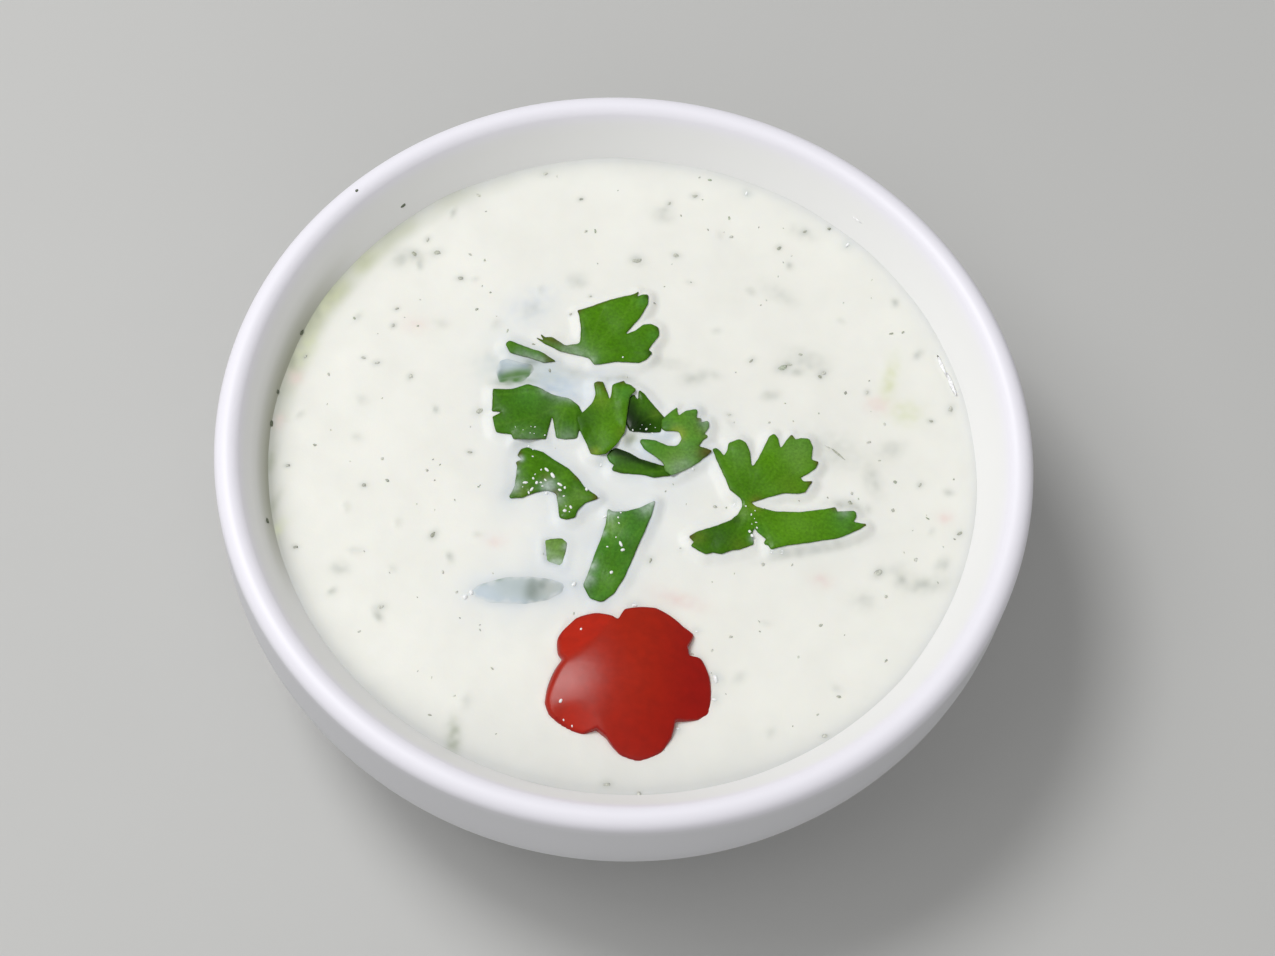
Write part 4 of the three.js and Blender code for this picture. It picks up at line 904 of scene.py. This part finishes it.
def near_leaves(x, y, margin, thinned):
    """Each leaf, with the indices of the places near it and how deep inside it they lie."""
    for leaf in LEAVES.values():
        outline = (leaf["outline"] + leaf["at"])[::thinned]
        low, high = outline.min(0) - margin, outline.max(0) + margin
        near = np.flatnonzero((x > low[0]) & (x < high[0]) & (y > low[1]) & (y < high[1]))
        yield leaf, near, depth_inside(x[near], y[near], outline)


# ---------------------------------------------------------------------------------- dip


def dip_surface(x, y):
    """The dip's height, as the solid has it."""
    turn = TURN / SWELL_LENGTH
    swell = np.sin(x * turn + 1) * np.cos(y * turn * 0.8) + np.sin((x + y) * turn * 0.5)
    edge = np.maximum(DIP_RADIUS - np.hypot(x, y), 0)
    rise = MENISCUS_HEIGHT * np.exp(-edge / MENISCUS_WIDTH)
    mounds = sum(high * soft_spot(x, y, place, reach) for *place, reach, high in MOUNDS)
    return DIP_LEVEL + 0.5 * SWELL_HEIGHT * swell + rise + mounds


def leaf_bed(leaf, x, y):
    """The height of a leaf's underside, at places from its own middle."""
    turn = TURN / LEAF_WAVE_LENGTH
    (at_x, at_y), (rise_x, rise_y) = leaf["at"], leaf["rise"]
    wave = LEAF_WAVE * (1 + np.sin(x * turn + at_x) * np.cos(y * turn + at_y))
    return dip_surface(x + at_x, y + at_y) + leaf["lift"] + rise_x * x + rise_y * y + wave


def flake_places():
    """The largest herb flakes: [x, y, length, width, turn]."""
    draw = dice(FLAKE_SEED)
    outlines = [
        (np.array(leaf["corners"])[:, :2] + leaf["at"], leaf.get("clearance", FLAKE_CLEARANCE))
        for leaf in LEAVES.values()
    ]
    outlines.append((FLOWER_OUTLINE, FLAKE_CLEARANCE))
    places = []
    while len(places) < FLAKE_COUNT:
        distance = (DIP_RADIUS - FLAKE_CLEARANCE) * math.sqrt(next(draw))
        angle = TURN * next(draw)
        place = (distance * math.cos(angle), distance * math.sin(angle))
        if any(math.dist(place, other) <= FLAKE_SPACING for other in places):
            continue
        here = np.array([place]).T
        if all(depth_inside(*here, line)[0] < -clearance for line, clearance in outlines):
            places.append(place)
    flakes = []
    for i, (x, y) in enumerate(places):
        length = FLAKE_LENGTH[1] - (FLAKE_LENGTH[1] - FLAKE_LENGTH[0]) * math.sqrt(i / FLAKE_COUNT)
        width = length * (0.45 + 0.4 * next(draw))
        flakes.append((x, y, length, width, 180 * next(draw)))
    return flakes


FLAKES = flake_places()


def dip_height(x, y):
    """The dip's surface with what the eye sees: lumps, and how it meets wall and garnish."""
    edge = DIP_RADIUS - np.hypot(x, y)
    rough = sum(high * lumps(x, y, size, seed) for high, size, seed in DIP_LUMPS)
    height = dip_surface(x, y) + smooth_step(edge / DIP_EVEN_EDGE) * rough
    height += CLIMB_HEIGHT * np.exp(-np.maximum(edge, 0) / CLIMB_WIDTH)
    for fx, fy, length, width, turn in FLAKES:
        height += 0.5 * FLAKE_PROUD * soft_spot(x, y, (fx, fy), (length / 2, width / 2), turn)
    covered = []
    for leaf, near, depth in near_leaves(x, y, SKIRT, 2):
        bed = leaf_bed(leaf, x[near] - leaf["at"][0], y[near] - leaf["at"][1])
        if "fade" in leaf:
            continue
        if "pressed" in leaf:
            # the dip laps over the sunk edge and swells a little just outside it
            under = smooth_step(depth / LAP_WIDTH)
            lap = LAP_HEIGHT * np.exp(-((depth + 0.3) / 0.7) ** 2) * (depth < 0)
            height[near] = height[near] * (1 - under) + (bed - 0.05) * under + lap
        else:
            under = smooth_step(1 + depth / SKIRT)
            most = bed - LEAF_GAP
            height[near] = height[near] * (1 - under) + most * under
            covered.append((near[depth > 0], most[depth > 0]))
    for inside, most in covered:
        height[inside] = np.minimum(height[inside], most)
    depth = depth_inside(x, y, FLOWER_OUTLINE)
    return height + LAP_HEIGHT * np.exp(-np.abs(depth) / 0.5) * (depth < 0)


def paint_spot(tones, x, y, colour, at, reach, turn, strength):
    """Lay one uneven soft spot of colour on tones."""
    weight = soft_spot(x, y, at, reach, turn)
    near = np.flatnonzero(weight > 0.01)
    weight = strength * weight[near] * patchy(x[near], y[near], 1.1, at[0])
    tones[near] = painted(tones[near], weight, colour)


def dip_tones(x, y):
    """The dip's colours: watery round the garnish, smudged by the herbs in it, with painted shade
    near the wall, at the front and round the leaves and drops.
    """
    edge = np.maximum(DIP_RADIUS - np.hypot(x, y), 0)
    # painted shade: the dip darker near the wall and towards the front
    front = smooth_step((-y - 34) / 18)
    tones = painted(CREAM, 0.75 * np.exp(-edge / 2) + 0.5 * front, DIP_EDGE_SHADE)
    # painted shade along the dip's left edge, where it meets the wall
    left_edge_shade = smooth_step((-x - 44) / 7) * np.exp(-edge / 0.8)
    tones = painted(tones, 0.5 * left_edge_shade, WALL_FOOT_SHADE)
    # painted shade along the dip's upper-left edge, where the rim shades it
    upper_left_shade = np.exp(-((np.arctan2(y, x) / RAD - 150) / 24) ** 2) * smooth_step(1.3 - edge / 2.4)
    tones = painted(tones, upper_left_shade * (0.6 + 0.7 * lumps(x, y, 4, 3.0)), OLIVE_EDGE_SHADE)
    for leaf, near, depth in near_leaves(x, y, FILM_REACH, 4):
        edge = np.maximum(-depth, 0)
        watery = leaf["film"] * patchy(x[near], y[near], 4, 5.0) * np.exp(-edge / FILM_WIDTH)
        watered = painted(tones[near], watery, WHEY_WHITE)
        # painted shade in a thin ring at the leaf's edge
        tones[near] = painted(watered, 0.2 * leaf["film"] * np.exp(-edge / 0.5), RING_SHADE_GREY)
    for colour, sx, sy, reach, turn, strength in coloured(SMUDGES):
        paint_spot(tones, x, y, colour, (sx, sy), reach, turn, strength)
    for i, (fx, fy, length, width, turn) in enumerate(FLAKES):
        strength = 0.35 + 0.4 * (i % 3 == 0)
        paint_spot(tones, x, y, HERB_GREY, (fx, fy), (length / 2, width / 2), turn, strength)
    for fx, fy, length, turn, _ in NOTED_FLECKS:
        paint_spot(tones, x, y, HERB_GREY, (fx, fy), (0.6 * length, 0.45 * length), turn, 0.6)
    # painted shade round each drop
    for fx, fy, length, _ in DIP_DROPS:
        paint_spot(tones, x, y, RING_SHADE_GREY, (fx, fy), 0.5 * length + 0.25, 0, 0.35)
    depth = depth_inside(x, y, FLOWER_OUTLINE)
    return painted(tones, 0.3 * np.exp(-np.abs(depth) / 0.4), PINK)


def build_dip():
    """A square grid bent to fill the bowl's circle, and rings down to the floor under it."""
    share = np.linspace(-1, 1, DIP_CELLS + 1)
    share = share * (1.1 - 0.1 * share ** 2)  # finer cells near the wall
    u, v = (grid.ravel() for grid in np.meshgrid(share, share))
    x = DIP_RADIUS * u * np.sqrt(1 - v * v / 2)
    y = DIP_RADIUS * v * np.sqrt(1 - u * u / 2)
    # the outermost points follow the leaning wall up to where the dip meets it
    climb = np.exp(-np.maximum(DIP_RADIUS - np.hypot(x, y), 0) / CLIMB_WIDTH)
    outward = (MENISCUS_HEIGHT + CLIMB_HEIGHT) * math.tan(WALL_LEAN) * climb ** 2
    widen = 1 + (outward + DIP_INTO_WALL * climb) / DIP_RADIUS
    top = np.column_stack([x * widen, y * widen, dip_height(x, y)])
    wide = DIP_CELLS + 1
    steps = np.arange(DIP_CELLS)
    faces = [
        (low, low + 1, low + wide + 1, low + wide)
        for row in range(DIP_CELLS) for low in range(row * wide, row * wide + DIP_CELLS)
    ]
    border = np.concatenate([
        steps, steps * wide + DIP_CELLS, (wide * wide - 1) - steps, (DIP_CELLS - steps) * wide,
    ])
    side = rounded([
        (leaning_wall_radius(KNEE_HEIGHT) + DIP_INTO_WALL, KNEE_HEIGHT),
        (WALL_FOOT_RADIUS + DIP_INTO_WALL, FLOOR_HEIGHT - DIP_INTO_WALL, FLOOR_ROUNDING),
        (1, FLOOR_HEIGHT - DIP_INTO_WALL),
    ], closed=False, arc_turn=12 * RAD)
    angles = np.arctan2(top[border, 1], top[border, 0])
    first, count = len(top), len(border)
    points = np.vstack([top, *(ring_of(r, z, angles) for r, z in side)])
    tones = np.vstack([dip_tones(*top[:, :2].T), np.tile(CREAM, (count * len(side), 1))])
    for i in range(count):
        j = (i + 1) % count
        faces.append((border[i], first + i, first + j, border[j]))
    faces += [face[::-1] for face in ring_faces(len(side), count, first)]
    faces.append(tuple(range(len(points) - count, len(points)))[::-1])
    dip = make_piece("dip_filling", points, faces, dip_material(), "yogurt_dip", ["dip"], tones)
    rim = set(border.tolist())
    for edge in dip.data.edges:
        edge.use_edge_sharp = rim.issuperset(edge.vertices)


# ------------------------------------------------------------------------------- parsley


def vein_marks(leaf, x, y):
    """How near each place is to a vein, 1 on a main one."""
    mark = np.zeros(len(x))
    stalk = np.array(leaf["stalk"])

    def draw_vein(line, strength):
        distance = distance_to_line(x, y, line, closed=False)
        np.maximum(mark, strength * np.exp(-(distance / (0.14 * strength + 0.05)) ** 2), out=mark)

    for i, tip in enumerate(leaf["tips"]):
        way = tip - stalk
        length = math.hypot(*way)
        across = np.array([-way[1], way[0]]) / length
        share = np.linspace(0, 1, 9)
        bend = 0.06 * length * (1 if i % 2 else -1) * np.sin(math.pi * share)
        main = stalk + np.outer(share, way) + np.outer(bend, across)
        draw_vein(main, 1.0)
        for k in range(1, int(length / VEIN_SPACING)):
            start = main[min(8, round(8 * k * VEIN_SPACING / length))]
            hand = 1 if k % 2 else -1
            branch = way / length * math.cos(VEIN_TURN) + hand * across * math.sin(VEIN_TURN)
            reach = min(2.2, 0.35 * length) * (1 - 0.5 * k * VEIN_SPACING / length)
            draw_vein(np.array([start, start + branch * reach]), SIDE_VEIN)
    return mark


def leaf_mesh(outline):
    """Places across a leaf and the triangles between them, its outline first."""
    low, high = outline.min(0), outline.max(0)
    rows = np.arange(low[1], high[1], LEAF_PITCH * math.sqrt(3) / 2)
    grid = np.array([
        (x + (LEAF_PITCH / 2 if i % 2 else 0), y)
        for i, y in enumerate(rows) for x in np.arange(low[0], high[0], LEAF_PITCH)
    ])
    grid = grid[depth_inside(*grid.T, outline) > 0.55 * LEAF_PITCH]
    places = [Vector(place) for place in np.vstack([outline, grid])]
    edges = [(i, (i + 1) % len(outline)) for i in range(len(outline))]
    result = delaunay_2d_cdt(places, edges, [], 1, 1e-5)
    return np.array([tuple(p) for p in result[0]]), result[2]


def raised_over(leaf, x, y):
    """How far a leaf lies higher where it crosses the leaves below it."""
    raised = np.zeros(len(x))
    for name in leaf.get("over", ()):
        below = LEAVES[name]
        ox, oy = (v + a - b for v, a, b in zip((x, y), leaf["at"], below["at"]))
        gap = leaf_bed(below, ox, oy) - leaf_bed(leaf, x, y) + LEAF_THICKNESS + LEAF_OVERLAP
        near = smooth_step(1 + depth_inside(ox, oy, below["outline"]) / 1.6)
        raised = np.maximum(raised, np.maximum(gap, 0) * near)
    return raised


def spotted(tones, leaf, x, y, seed):
    """Tones with a leaf's spots laid on, its own colours with painted shade and painted light among
    them, and the dip on it last.
    """
    uneven = patchy(x, y, 0.8, seed)
    for colour, sx, sy, reach, strength, *turn in coloured(leaf["tones"]):
        weight = strength * soft_spot(x, y, (sx, sy), reach, *turn)
        tones = painted(tones, weight * (uneven if colour is MILKY else 1), colour)
    return tones


def green_leaf(leaf, x, y, edge, seed):
    """Both sides' heights, the colours and the wetness of a leaf that lies on the dip."""
    mark = vein_marks(leaf, x, y)
    half = (LEAF_EDGE + (LEAF_THICKNESS - LEAF_EDGE) * (1 - np.exp(-edge / 0.3))) / 2
    middle = leaf_bed(leaf, x, y) + raised_over(leaf, x, y) + LEAF_BED / 2
    middle += LEAF_HUMPS * lumps(x, y, 3.2, seed) - VEIN_DEPTH * mark - LEAF_SAG * np.exp(-edge)
    wetness = np.clip(0.35 + 0.8 * lumps(x, y, 2.4, seed + 6), 0, 1)
    for bead in leaf.get("beads", ()):
        wetness = np.maximum(wetness, soft_spot(x, y, bead[:2], 1.2))
    tones = painted(leaf["green"], 0.3 * patches(x, y, 3.5, seed + 4), 0.6 * leaf["green"])
    tones = painted(tones, 0.24 * mark, VEIN)
    tones = painted(tones, 0.25 * np.exp(-edge / 0.25), DEEP)
    tones = painted(tones, 0.35 * patches(x, y, 1.8, seed + 9) * np.exp(-edge / 0.15), BROWN)
    return (middle + half, middle - half), spotted(tones, leaf, x, y, seed + 2), wetness


def coated_leaf(leaf, x, y, edge):
    """The same of herb that shows through the dip that coats it, and fades at its edge."""
    over = x + leaf["at"][0], y + leaf["at"][1]
    top = dip_height(*over) - COAT + 2 * COAT * smooth_step(edge / 0.6)
    uneven = patches(x, y, 1.3, 6.0, 0.5)
    shown = smooth_step(edge / (leaf["fade"] * (0.5 + uneven))) * (1 - 0.1 * uneven)
    tones = painted(spotted(leaf["green"], leaf, x, y, 4.0), 1 - shown, dip_tones(*over))
    return (top, top - LEAF_THICKNESS), tones, np.ones(len(x))


def build_leaf(name, leaf, replaces, materials):
    places, triangles = leaf_mesh(leaf["outline"])
    x, y = places.T
    edge = distance_to_line(x, y, leaf["outline"])
    if "fade" in leaf:
        slot, (heights, tones, wetness) = "coated_parsley", coated_leaf(leaf, x, y, edge)
    else:
        slot, seed = "parsley", len(name) * 1.7
        heights, tones, wetness = green_leaf(leaf, x, y, edge, seed)
    count = len(places)
    faces = [*triangles, *([count + i for i in reversed(face)] for face in triangles)]
    sides = set()
    for face in triangles:
        sides.update(zip(face, face[1:] + face[:1]))
    faces += [(b, a, count + a, count + b) for a, b in sorted(sides) if (b, a) not in sides]
    points = np.vstack([np.column_stack([places + leaf["at"], height]) for height in heights])
    # the underside and cut sides take the tones darkened to 0.8: painted shade
    make_piece(
        name.replace("leaf", "parsley"), points, faces, materials[slot], slot, replaces,
        np.vstack([tones, tones * 0.8]), np.tile(wetness, 2),
    )


def build_parsley():
    materials = {"parsley": parsley_material(), "coated_parsley": dip_material("coated_parsley")}
    for name, leaf in LEAVES.items():
        build_leaf(name, leaf, [name], materials)
    build_leaf("parsley_shred", SHRED, (), materials)


# -------------------------------------------------------------------------------- flower


def beyond_crease(x, y, crease):
    turn, near, radius, _ = crease
    away = near + radius
    return radius - np.hypot(x - away * math.cos(turn * RAD), y - away * math.sin(turn * RAD))


def flower_skin(x, y):
    """The skin's height over the dip's level, a dome bent down along the creases."""
    height = FLOWER_TOP - (x * x + y * y) / (2 * FLOWER_DOME_RADIUS)
    for crease in FLOWER_CREASES:
        beyond = np.clip(beyond_crease(x, y, crease) / CREASE_WIDTH, -30, 30)
        height = height - crease[3] * CREASE_WIDTH * np.log1p(np.exp(beyond))
    return height + FLOWER_HUMPS * lumps(x, y, 5, 8.0)


def skin_tone(x, y):
    # painted shade: darker red towards the right side and on the bottom petal
    tone = painted(PEPPER_RED, smooth_step((x - 1) / 11), PEPPER_DEEP_SHADE)
    tone = painted(tone, 0.5 * soft_spot(x, y, (3, -11), (5, 4)), PEPPER_DEEP_SHADE)
    for crease, strength in zip(FLOWER_CREASES, (0.9, 0.3)):
        beyond = smooth_step(beyond_crease(x, y, crease) / 0.8)
        tone = painted(tone, strength * beyond, PEPPER_ORANGE)
    return painted(tone, 0.7 * soft_spot(x, y, (-5.9, -8.4), 1.3), PEPPER_ORANGE)


def build_flower():
    """Rings from the cut side, round the shoulder and over the skin to the middle."""
    angles = np.linspace(0, TURN, FLOWER_SEGMENTS, endpoint=False)
    line_angles = np.arctan2(FLOWER_LINE[:, 1], FLOWER_LINE[:, 0])
    order = np.argsort(line_angles)
    line_reach = np.hypot(*FLOWER_LINE[order].T)
    reach = np.interp(angles, line_angles[order], line_reach, period=TURN)
    away = (angles / RAD - FLOWER_CUT_TURN + 180) % 360 - 180
    slope = 0.3 + 0.95 * np.exp(-(away / 26) ** 2)
    rings, tones = [], []

    def place_at(radius):
        return radius * np.cos(angles), radius * np.sin(angles)

    def add_ring(radius, height, tone):
        rings.append(ring_of(radius, DIP_LEVEL + height, angles, FLOWER_AT))
        tones.append(np.broadcast_to(tone, (FLOWER_SEGMENTS, 3)))

    add_ring(reach - 0.5, -FLOWER_SUNK, PEPPER_CUT)
    add_ring(reach, 0.5 - FLOWER_SUNK, PEPPER_DEEP_SHADE)
    add_ring(reach, np.minimum(flower_skin(*place_at(reach)) - 0.9, 0.9), PEPPER_DEEP_SHADE)
    for part in np.linspace(0, 1, 6):
        drop = (1 - math.sin(part * math.pi / 2)) * (0.35 + 0.8 * (slope - 0.3))
        radius = reach - slope * (1 - math.cos(part * math.pi / 2))
        skin = skin_tone(*place_at(radius))
        rim = painted(PEPPER_DEEP_SHADE, part * (slope > 0.5), PEPPER_CUT)
        rim = painted(rim, max(0.0, 3 * part - 2), 0.5 * (skin + rim))
        add_ring(radius, flower_skin(*place_at(radius)) - drop, rim)
    for share in np.linspace(0.97, 0.04, 36):
        radius = (reach - slope) * share
        add_ring(radius, flower_skin(*place_at(radius)), skin_tone(*place_at(radius)))
    top = float(flower_skin(np.zeros(1), np.zeros(1))[0])
    ends = [(*FLOWER_AT, DIP_LEVEL + height) for height in (top, -FLOWER_SUNK)]
    centre = len(rings) * FLOWER_SEGMENTS
    faces = closed_faces(len(rings), FLOWER_SEGMENTS, centre + 1, centre)
    tones = np.vstack([*tones, [PEPPER_RED], [PEPPER_CUT]])
    make_piece(
        "pepper_skin", np.vstack([*rings, ends]), faces, pepper_material(), "red_pepper",
        ["pepper_flower"], tones,
    )


# ---------------------------------------------------------------------- flecks and beads

WALL_FLECKS = [  # [turn, radius, height, length] of flecks stuck to the bowl
    (140.9, 57.9, 40, 0.6), (135.2, 53.8, 34.9, 0.9), (163.5, 52.6, 33, 1),
    (-179.1, 52.5, 32.9, 1.1), (175.1, 52.6, 33, 0.8), (-161.2, 53.3, 34.2, 0.8),
]
WALL_GLINT_DABS = [  # and of thin white dabs that stand for glints: painted highlights
    (55.7, 55.6, 37.8, -2), (54.4, 54.2, 35.6, -1.8),
    (25.2, 51.1, 32.8, -3.8), (21.2, 51.4, 32.8, -4.2),
]


def build_flecks():
    """Herb flecks that lie in the surface, each its own flake. Thin ones have length below 0."""
    draw = dice(FLECK_SEED)
    flecks = list(NOTED_FLECKS)
    for start, end in zip(STALK[:-1], STALK[1:]):
        middle, way = (np.array(start) + end) / 2, np.subtract(end, start)
        flecks.append((*middle, -1.15 * math.hypot(*way), math.atan2(way[1], way[0]) / RAD, 0.1))
    while len(flecks) < FLECK_COUNT:
        distance, angle = (DIP_RADIUS - 1) * math.sqrt(next(draw)), TURN * next(draw)
        length = 0.3 + 0.5 * next(draw) ** 2.2
        place = (distance * math.cos(angle), distance * math.sin(angle))
        flecks.append((*place, length, 180 * next(draw), next(draw)))
    x, y = np.array([fleck[:2] for fleck in flecks]).T
    free = depth_inside(x, y, FLOWER_OUTLINE) < 0
    for _, near, depth in near_leaves(x, y, 0, 1):
        free[near] &= depth < 0
    heights = dip_height(x, y)
    points, faces, tones = [], [], []

    def add(at, length, turn, tone, tilt=Matrix.Identity(3), lift=FLECK_LIFT):
        """An uneven flat flake of three rings, with a middle above and one below."""
        width = THIN_SHARE * -length if length < 0 else length * (0.4 + 0.35 * next(draw))
        first = len(points)
        shape = []
        for ring, height in ((0.8, -0.12), (1.0, 0.0), (0.72, 0.75)):
            for i in range(FLECK_SIDES):
                angle = TURN * i / FLECK_SIDES
                half = ring * (0.7 + 0.6 * next(draw)) / 2
                shape.append((
                    abs(length) * half * math.cos(angle), width * half * math.sin(angle),
                    height * lift,
                ))
        shape += [(0, 0, lift), (0, 0, -0.2 * lift)]
        turned = tilt @ Matrix.Rotation(turn * RAD, 3, "Z")
        points.extend(turned @ Vector(p) + at for p in shape)
        top = first + 3 * FLECK_SIDES
        faces.extend(closed_faces(3, FLECK_SIDES, top + 1, top, first))
        tones.extend([tone] * len(shape))

    for i, (fx, fy, length, turn, green_share) in enumerate(flecks):
        if free[i]:
            tone = painted(FLECK_DARK, next(draw), FLECK_OLIVE)
            tone = painted(tone, green_share ** 2, FLECK_GREEN)
            tone = painted(tone, 0.28 + 0.4 * next(draw), CREAM)[0]
            add(Vector((fx, fy, heights[i] - FLECK_SUNK)), length, turn, tone)
    # the white dabs on the wall are painted highlights
    on_wall = ((FLECK_DARK, WALL_FLECKS, FLECK_LIFT), (GLINT_WHITE, WALL_GLINT_DABS, DAB_LIFT))
    for tone, marks, lift in on_wall:
        for turn, radius, height, length in marks:
            at = Vector((radius * math.cos(turn * RAD), radius * math.sin(turn * RAD), height))
            lean = math.pi / 2 - WALL_LEAN if radius > 52 and height < BOWL_HEIGHT - 0.3 else 0
            tilt = Matrix.Rotation(turn * RAD, 3, "Z") @ Matrix.Rotation(-lean, 3, "Y")
            add(at, length, 90, tone, tilt, lift)
    make_piece("herb_flecks", points, faces, fleck_material(), "yogurt_dip", (), np.array(tones))


def bead_sites():
    """Every drop: [x, y, height under it, length, turn or None]."""
    sites, on_dip = [], list(DIP_DROPS)
    for leaf in LEAVES.values():
        for x, y, length, *turn in leaf.get("beads", ()):
            place, here = np.array([[x], [y]]), (x + leaf["at"][0], y + leaf["at"][1])
            turn = turn[0] if turn else None
            if "fade" not in leaf and depth_inside(*place, leaf["outline"])[0] > 0:
                top = leaf_bed(leaf, *place) + raised_over(leaf, *place)
                sites.append((*here, top[0] + (LEAF_BED + LEAF_THICKNESS) / 2, length, turn))
            else:
                on_dip.append((*here, length, turn))
    for x, y, length in FLOWER_BEADS:
        skin = flower_skin(np.array([x]), np.array([y]))[0]
        sites.append((x + FLOWER_AT[0], y + FLOWER_AT[1], DIP_LEVEL + skin, length, None))
    heights = dip_height(*np.array([drop[:2] for drop in on_dip]).T)
    return sites + [(*drop[:2], height, *drop[2:]) for drop, height in zip(on_dip, heights)]


def build_beads():
    """Small cloudy drops on the garnish and the dip, white as painted highlights."""
    draw = dice(BEAD_SEED)
    points, faces = [], []
    for x0, y0, base, length, turn in bead_sites():
        roll = 180 * next(draw)
        width = length * (0.55 + 0.35 * next(draw))
        if turn is not None:
            width, roll = 0.5 * length, turn
        cos, sin = math.cos(roll * RAD), math.sin(roll * RAD)
        first = len(points)
        for ring in range(BEAD_RINGS):
            lean = math.pi / 2 * ring / BEAD_RINGS
            for i in range(BEAD_SIDES):
                angle = TURN * i / BEAD_SIDES
                half = math.cos(lean) * (0.88 + 0.24 * next(draw)) / 2
                along, across = length * half * math.cos(angle), width * half * math.sin(angle)
                points.append((
                    x0 + along * cos - across * sin, y0 + along * sin + across * cos,
                    base - BEAD_SUNK + 0.5 * width * math.sin(lean),
                ))
        points += [
            (x0, y0, base - BEAD_SUNK + 0.5 * width), (x0, y0, base - 2 * BEAD_SUNK),
        ]
        top = first + BEAD_RINGS * BEAD_SIDES
        faces += closed_faces(BEAD_RINGS, BEAD_SIDES, top + 1, top, first)
    make_piece("whey_glint_beads", points, faces, bead_material(), "yogurt_dip")


# ------------------------------------------------------------------- floor, light, camera


def build_floor():
    """A plain pale floor."""
    corners = [(x * FLOOR_HALF, y * FLOOR_HALF, 0) for x, y in ((-1, -1), (1, -1), (1, 1), (-1, 1))]
    floor = add_mesh("floor", corners, [(0, 1, 2, 3)], floor_material())
    floor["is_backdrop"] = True


def build_lights():
    for name, (stand, width, watts) in LAMPS.items():
        light = bpy.data.lights.new(name, "AREA")
        light.shape, light.size, light.energy = "DISK", width, watts
        lamp = add_object(name, light)
        direction = Vector(stand).normalized()
        lamp.location = RIM_CENTRE * MM + direction * LAMP_DISTANCE
        lamp.rotation_euler = (-direction).to_track_quat("-Z", "Y").to_euler()
    world = bpy.data.worlds.new("soft_room")
    world.use_nodes = True
    sky = world.node_tree.nodes["Background"].inputs
    sky["Color"].default_value = (1, 1, 1, 1)
    sky["Strength"].default_value = SKY_STRENGTH
    bpy.context.scene.world = world
    bpy.context.scene.view_settings.view_transform = "Standard"


def build_camera():
    """The camera that puts the rim where the photo has it."""
    back = Vector((0, -math.cos(CAMERA_ELEVATION), math.sin(CAMERA_ELEVATION)))
    upright = (-back).to_track_quat("-Z", "Y")
    roll = Quaternion((0, 0, 1), CAMERA_ROLL)
    aim = Vector((
        (RIM_CENTRE_PIXEL[0] - PHOTO_WIDTH / 2) / CAMERA_FOCUS,
        (PHOTO_HEIGHT / 2 - RIM_CENTRE_PIXEL[1]) / CAMERA_FOCUS,
        -1,
    )).normalized()
    pan = Vector((0, 0, -1)).rotation_difference(aim)
    lens = bpy.data.cameras.new("camera")
    lens.sensor_width = SENSOR_WIDTH
    lens.lens = CAMERA_FOCUS * SENSOR_WIDTH / PHOTO_WIDTH
    camera = add_object("camera", lens)
    camera.location = (RIM_CENTRE + back * CAMERA_DISTANCE) * MM
    camera.rotation_euler = (upright @ roll @ pan.inverted()).to_euler()
    bpy.context.scene.camera = camera


for build in (
    build_camera, build_lights, build_floor, build_bowl, build_dip, build_parsley, build_flower,
    build_flecks, build_beads,
):
    build()

bpy.context.view_layer.update()
visual_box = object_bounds()
sizes = {"cad": cad_box, "visual": visual_box}
{key: [list(corner) for corner in box] for key, box in sizes.items()}
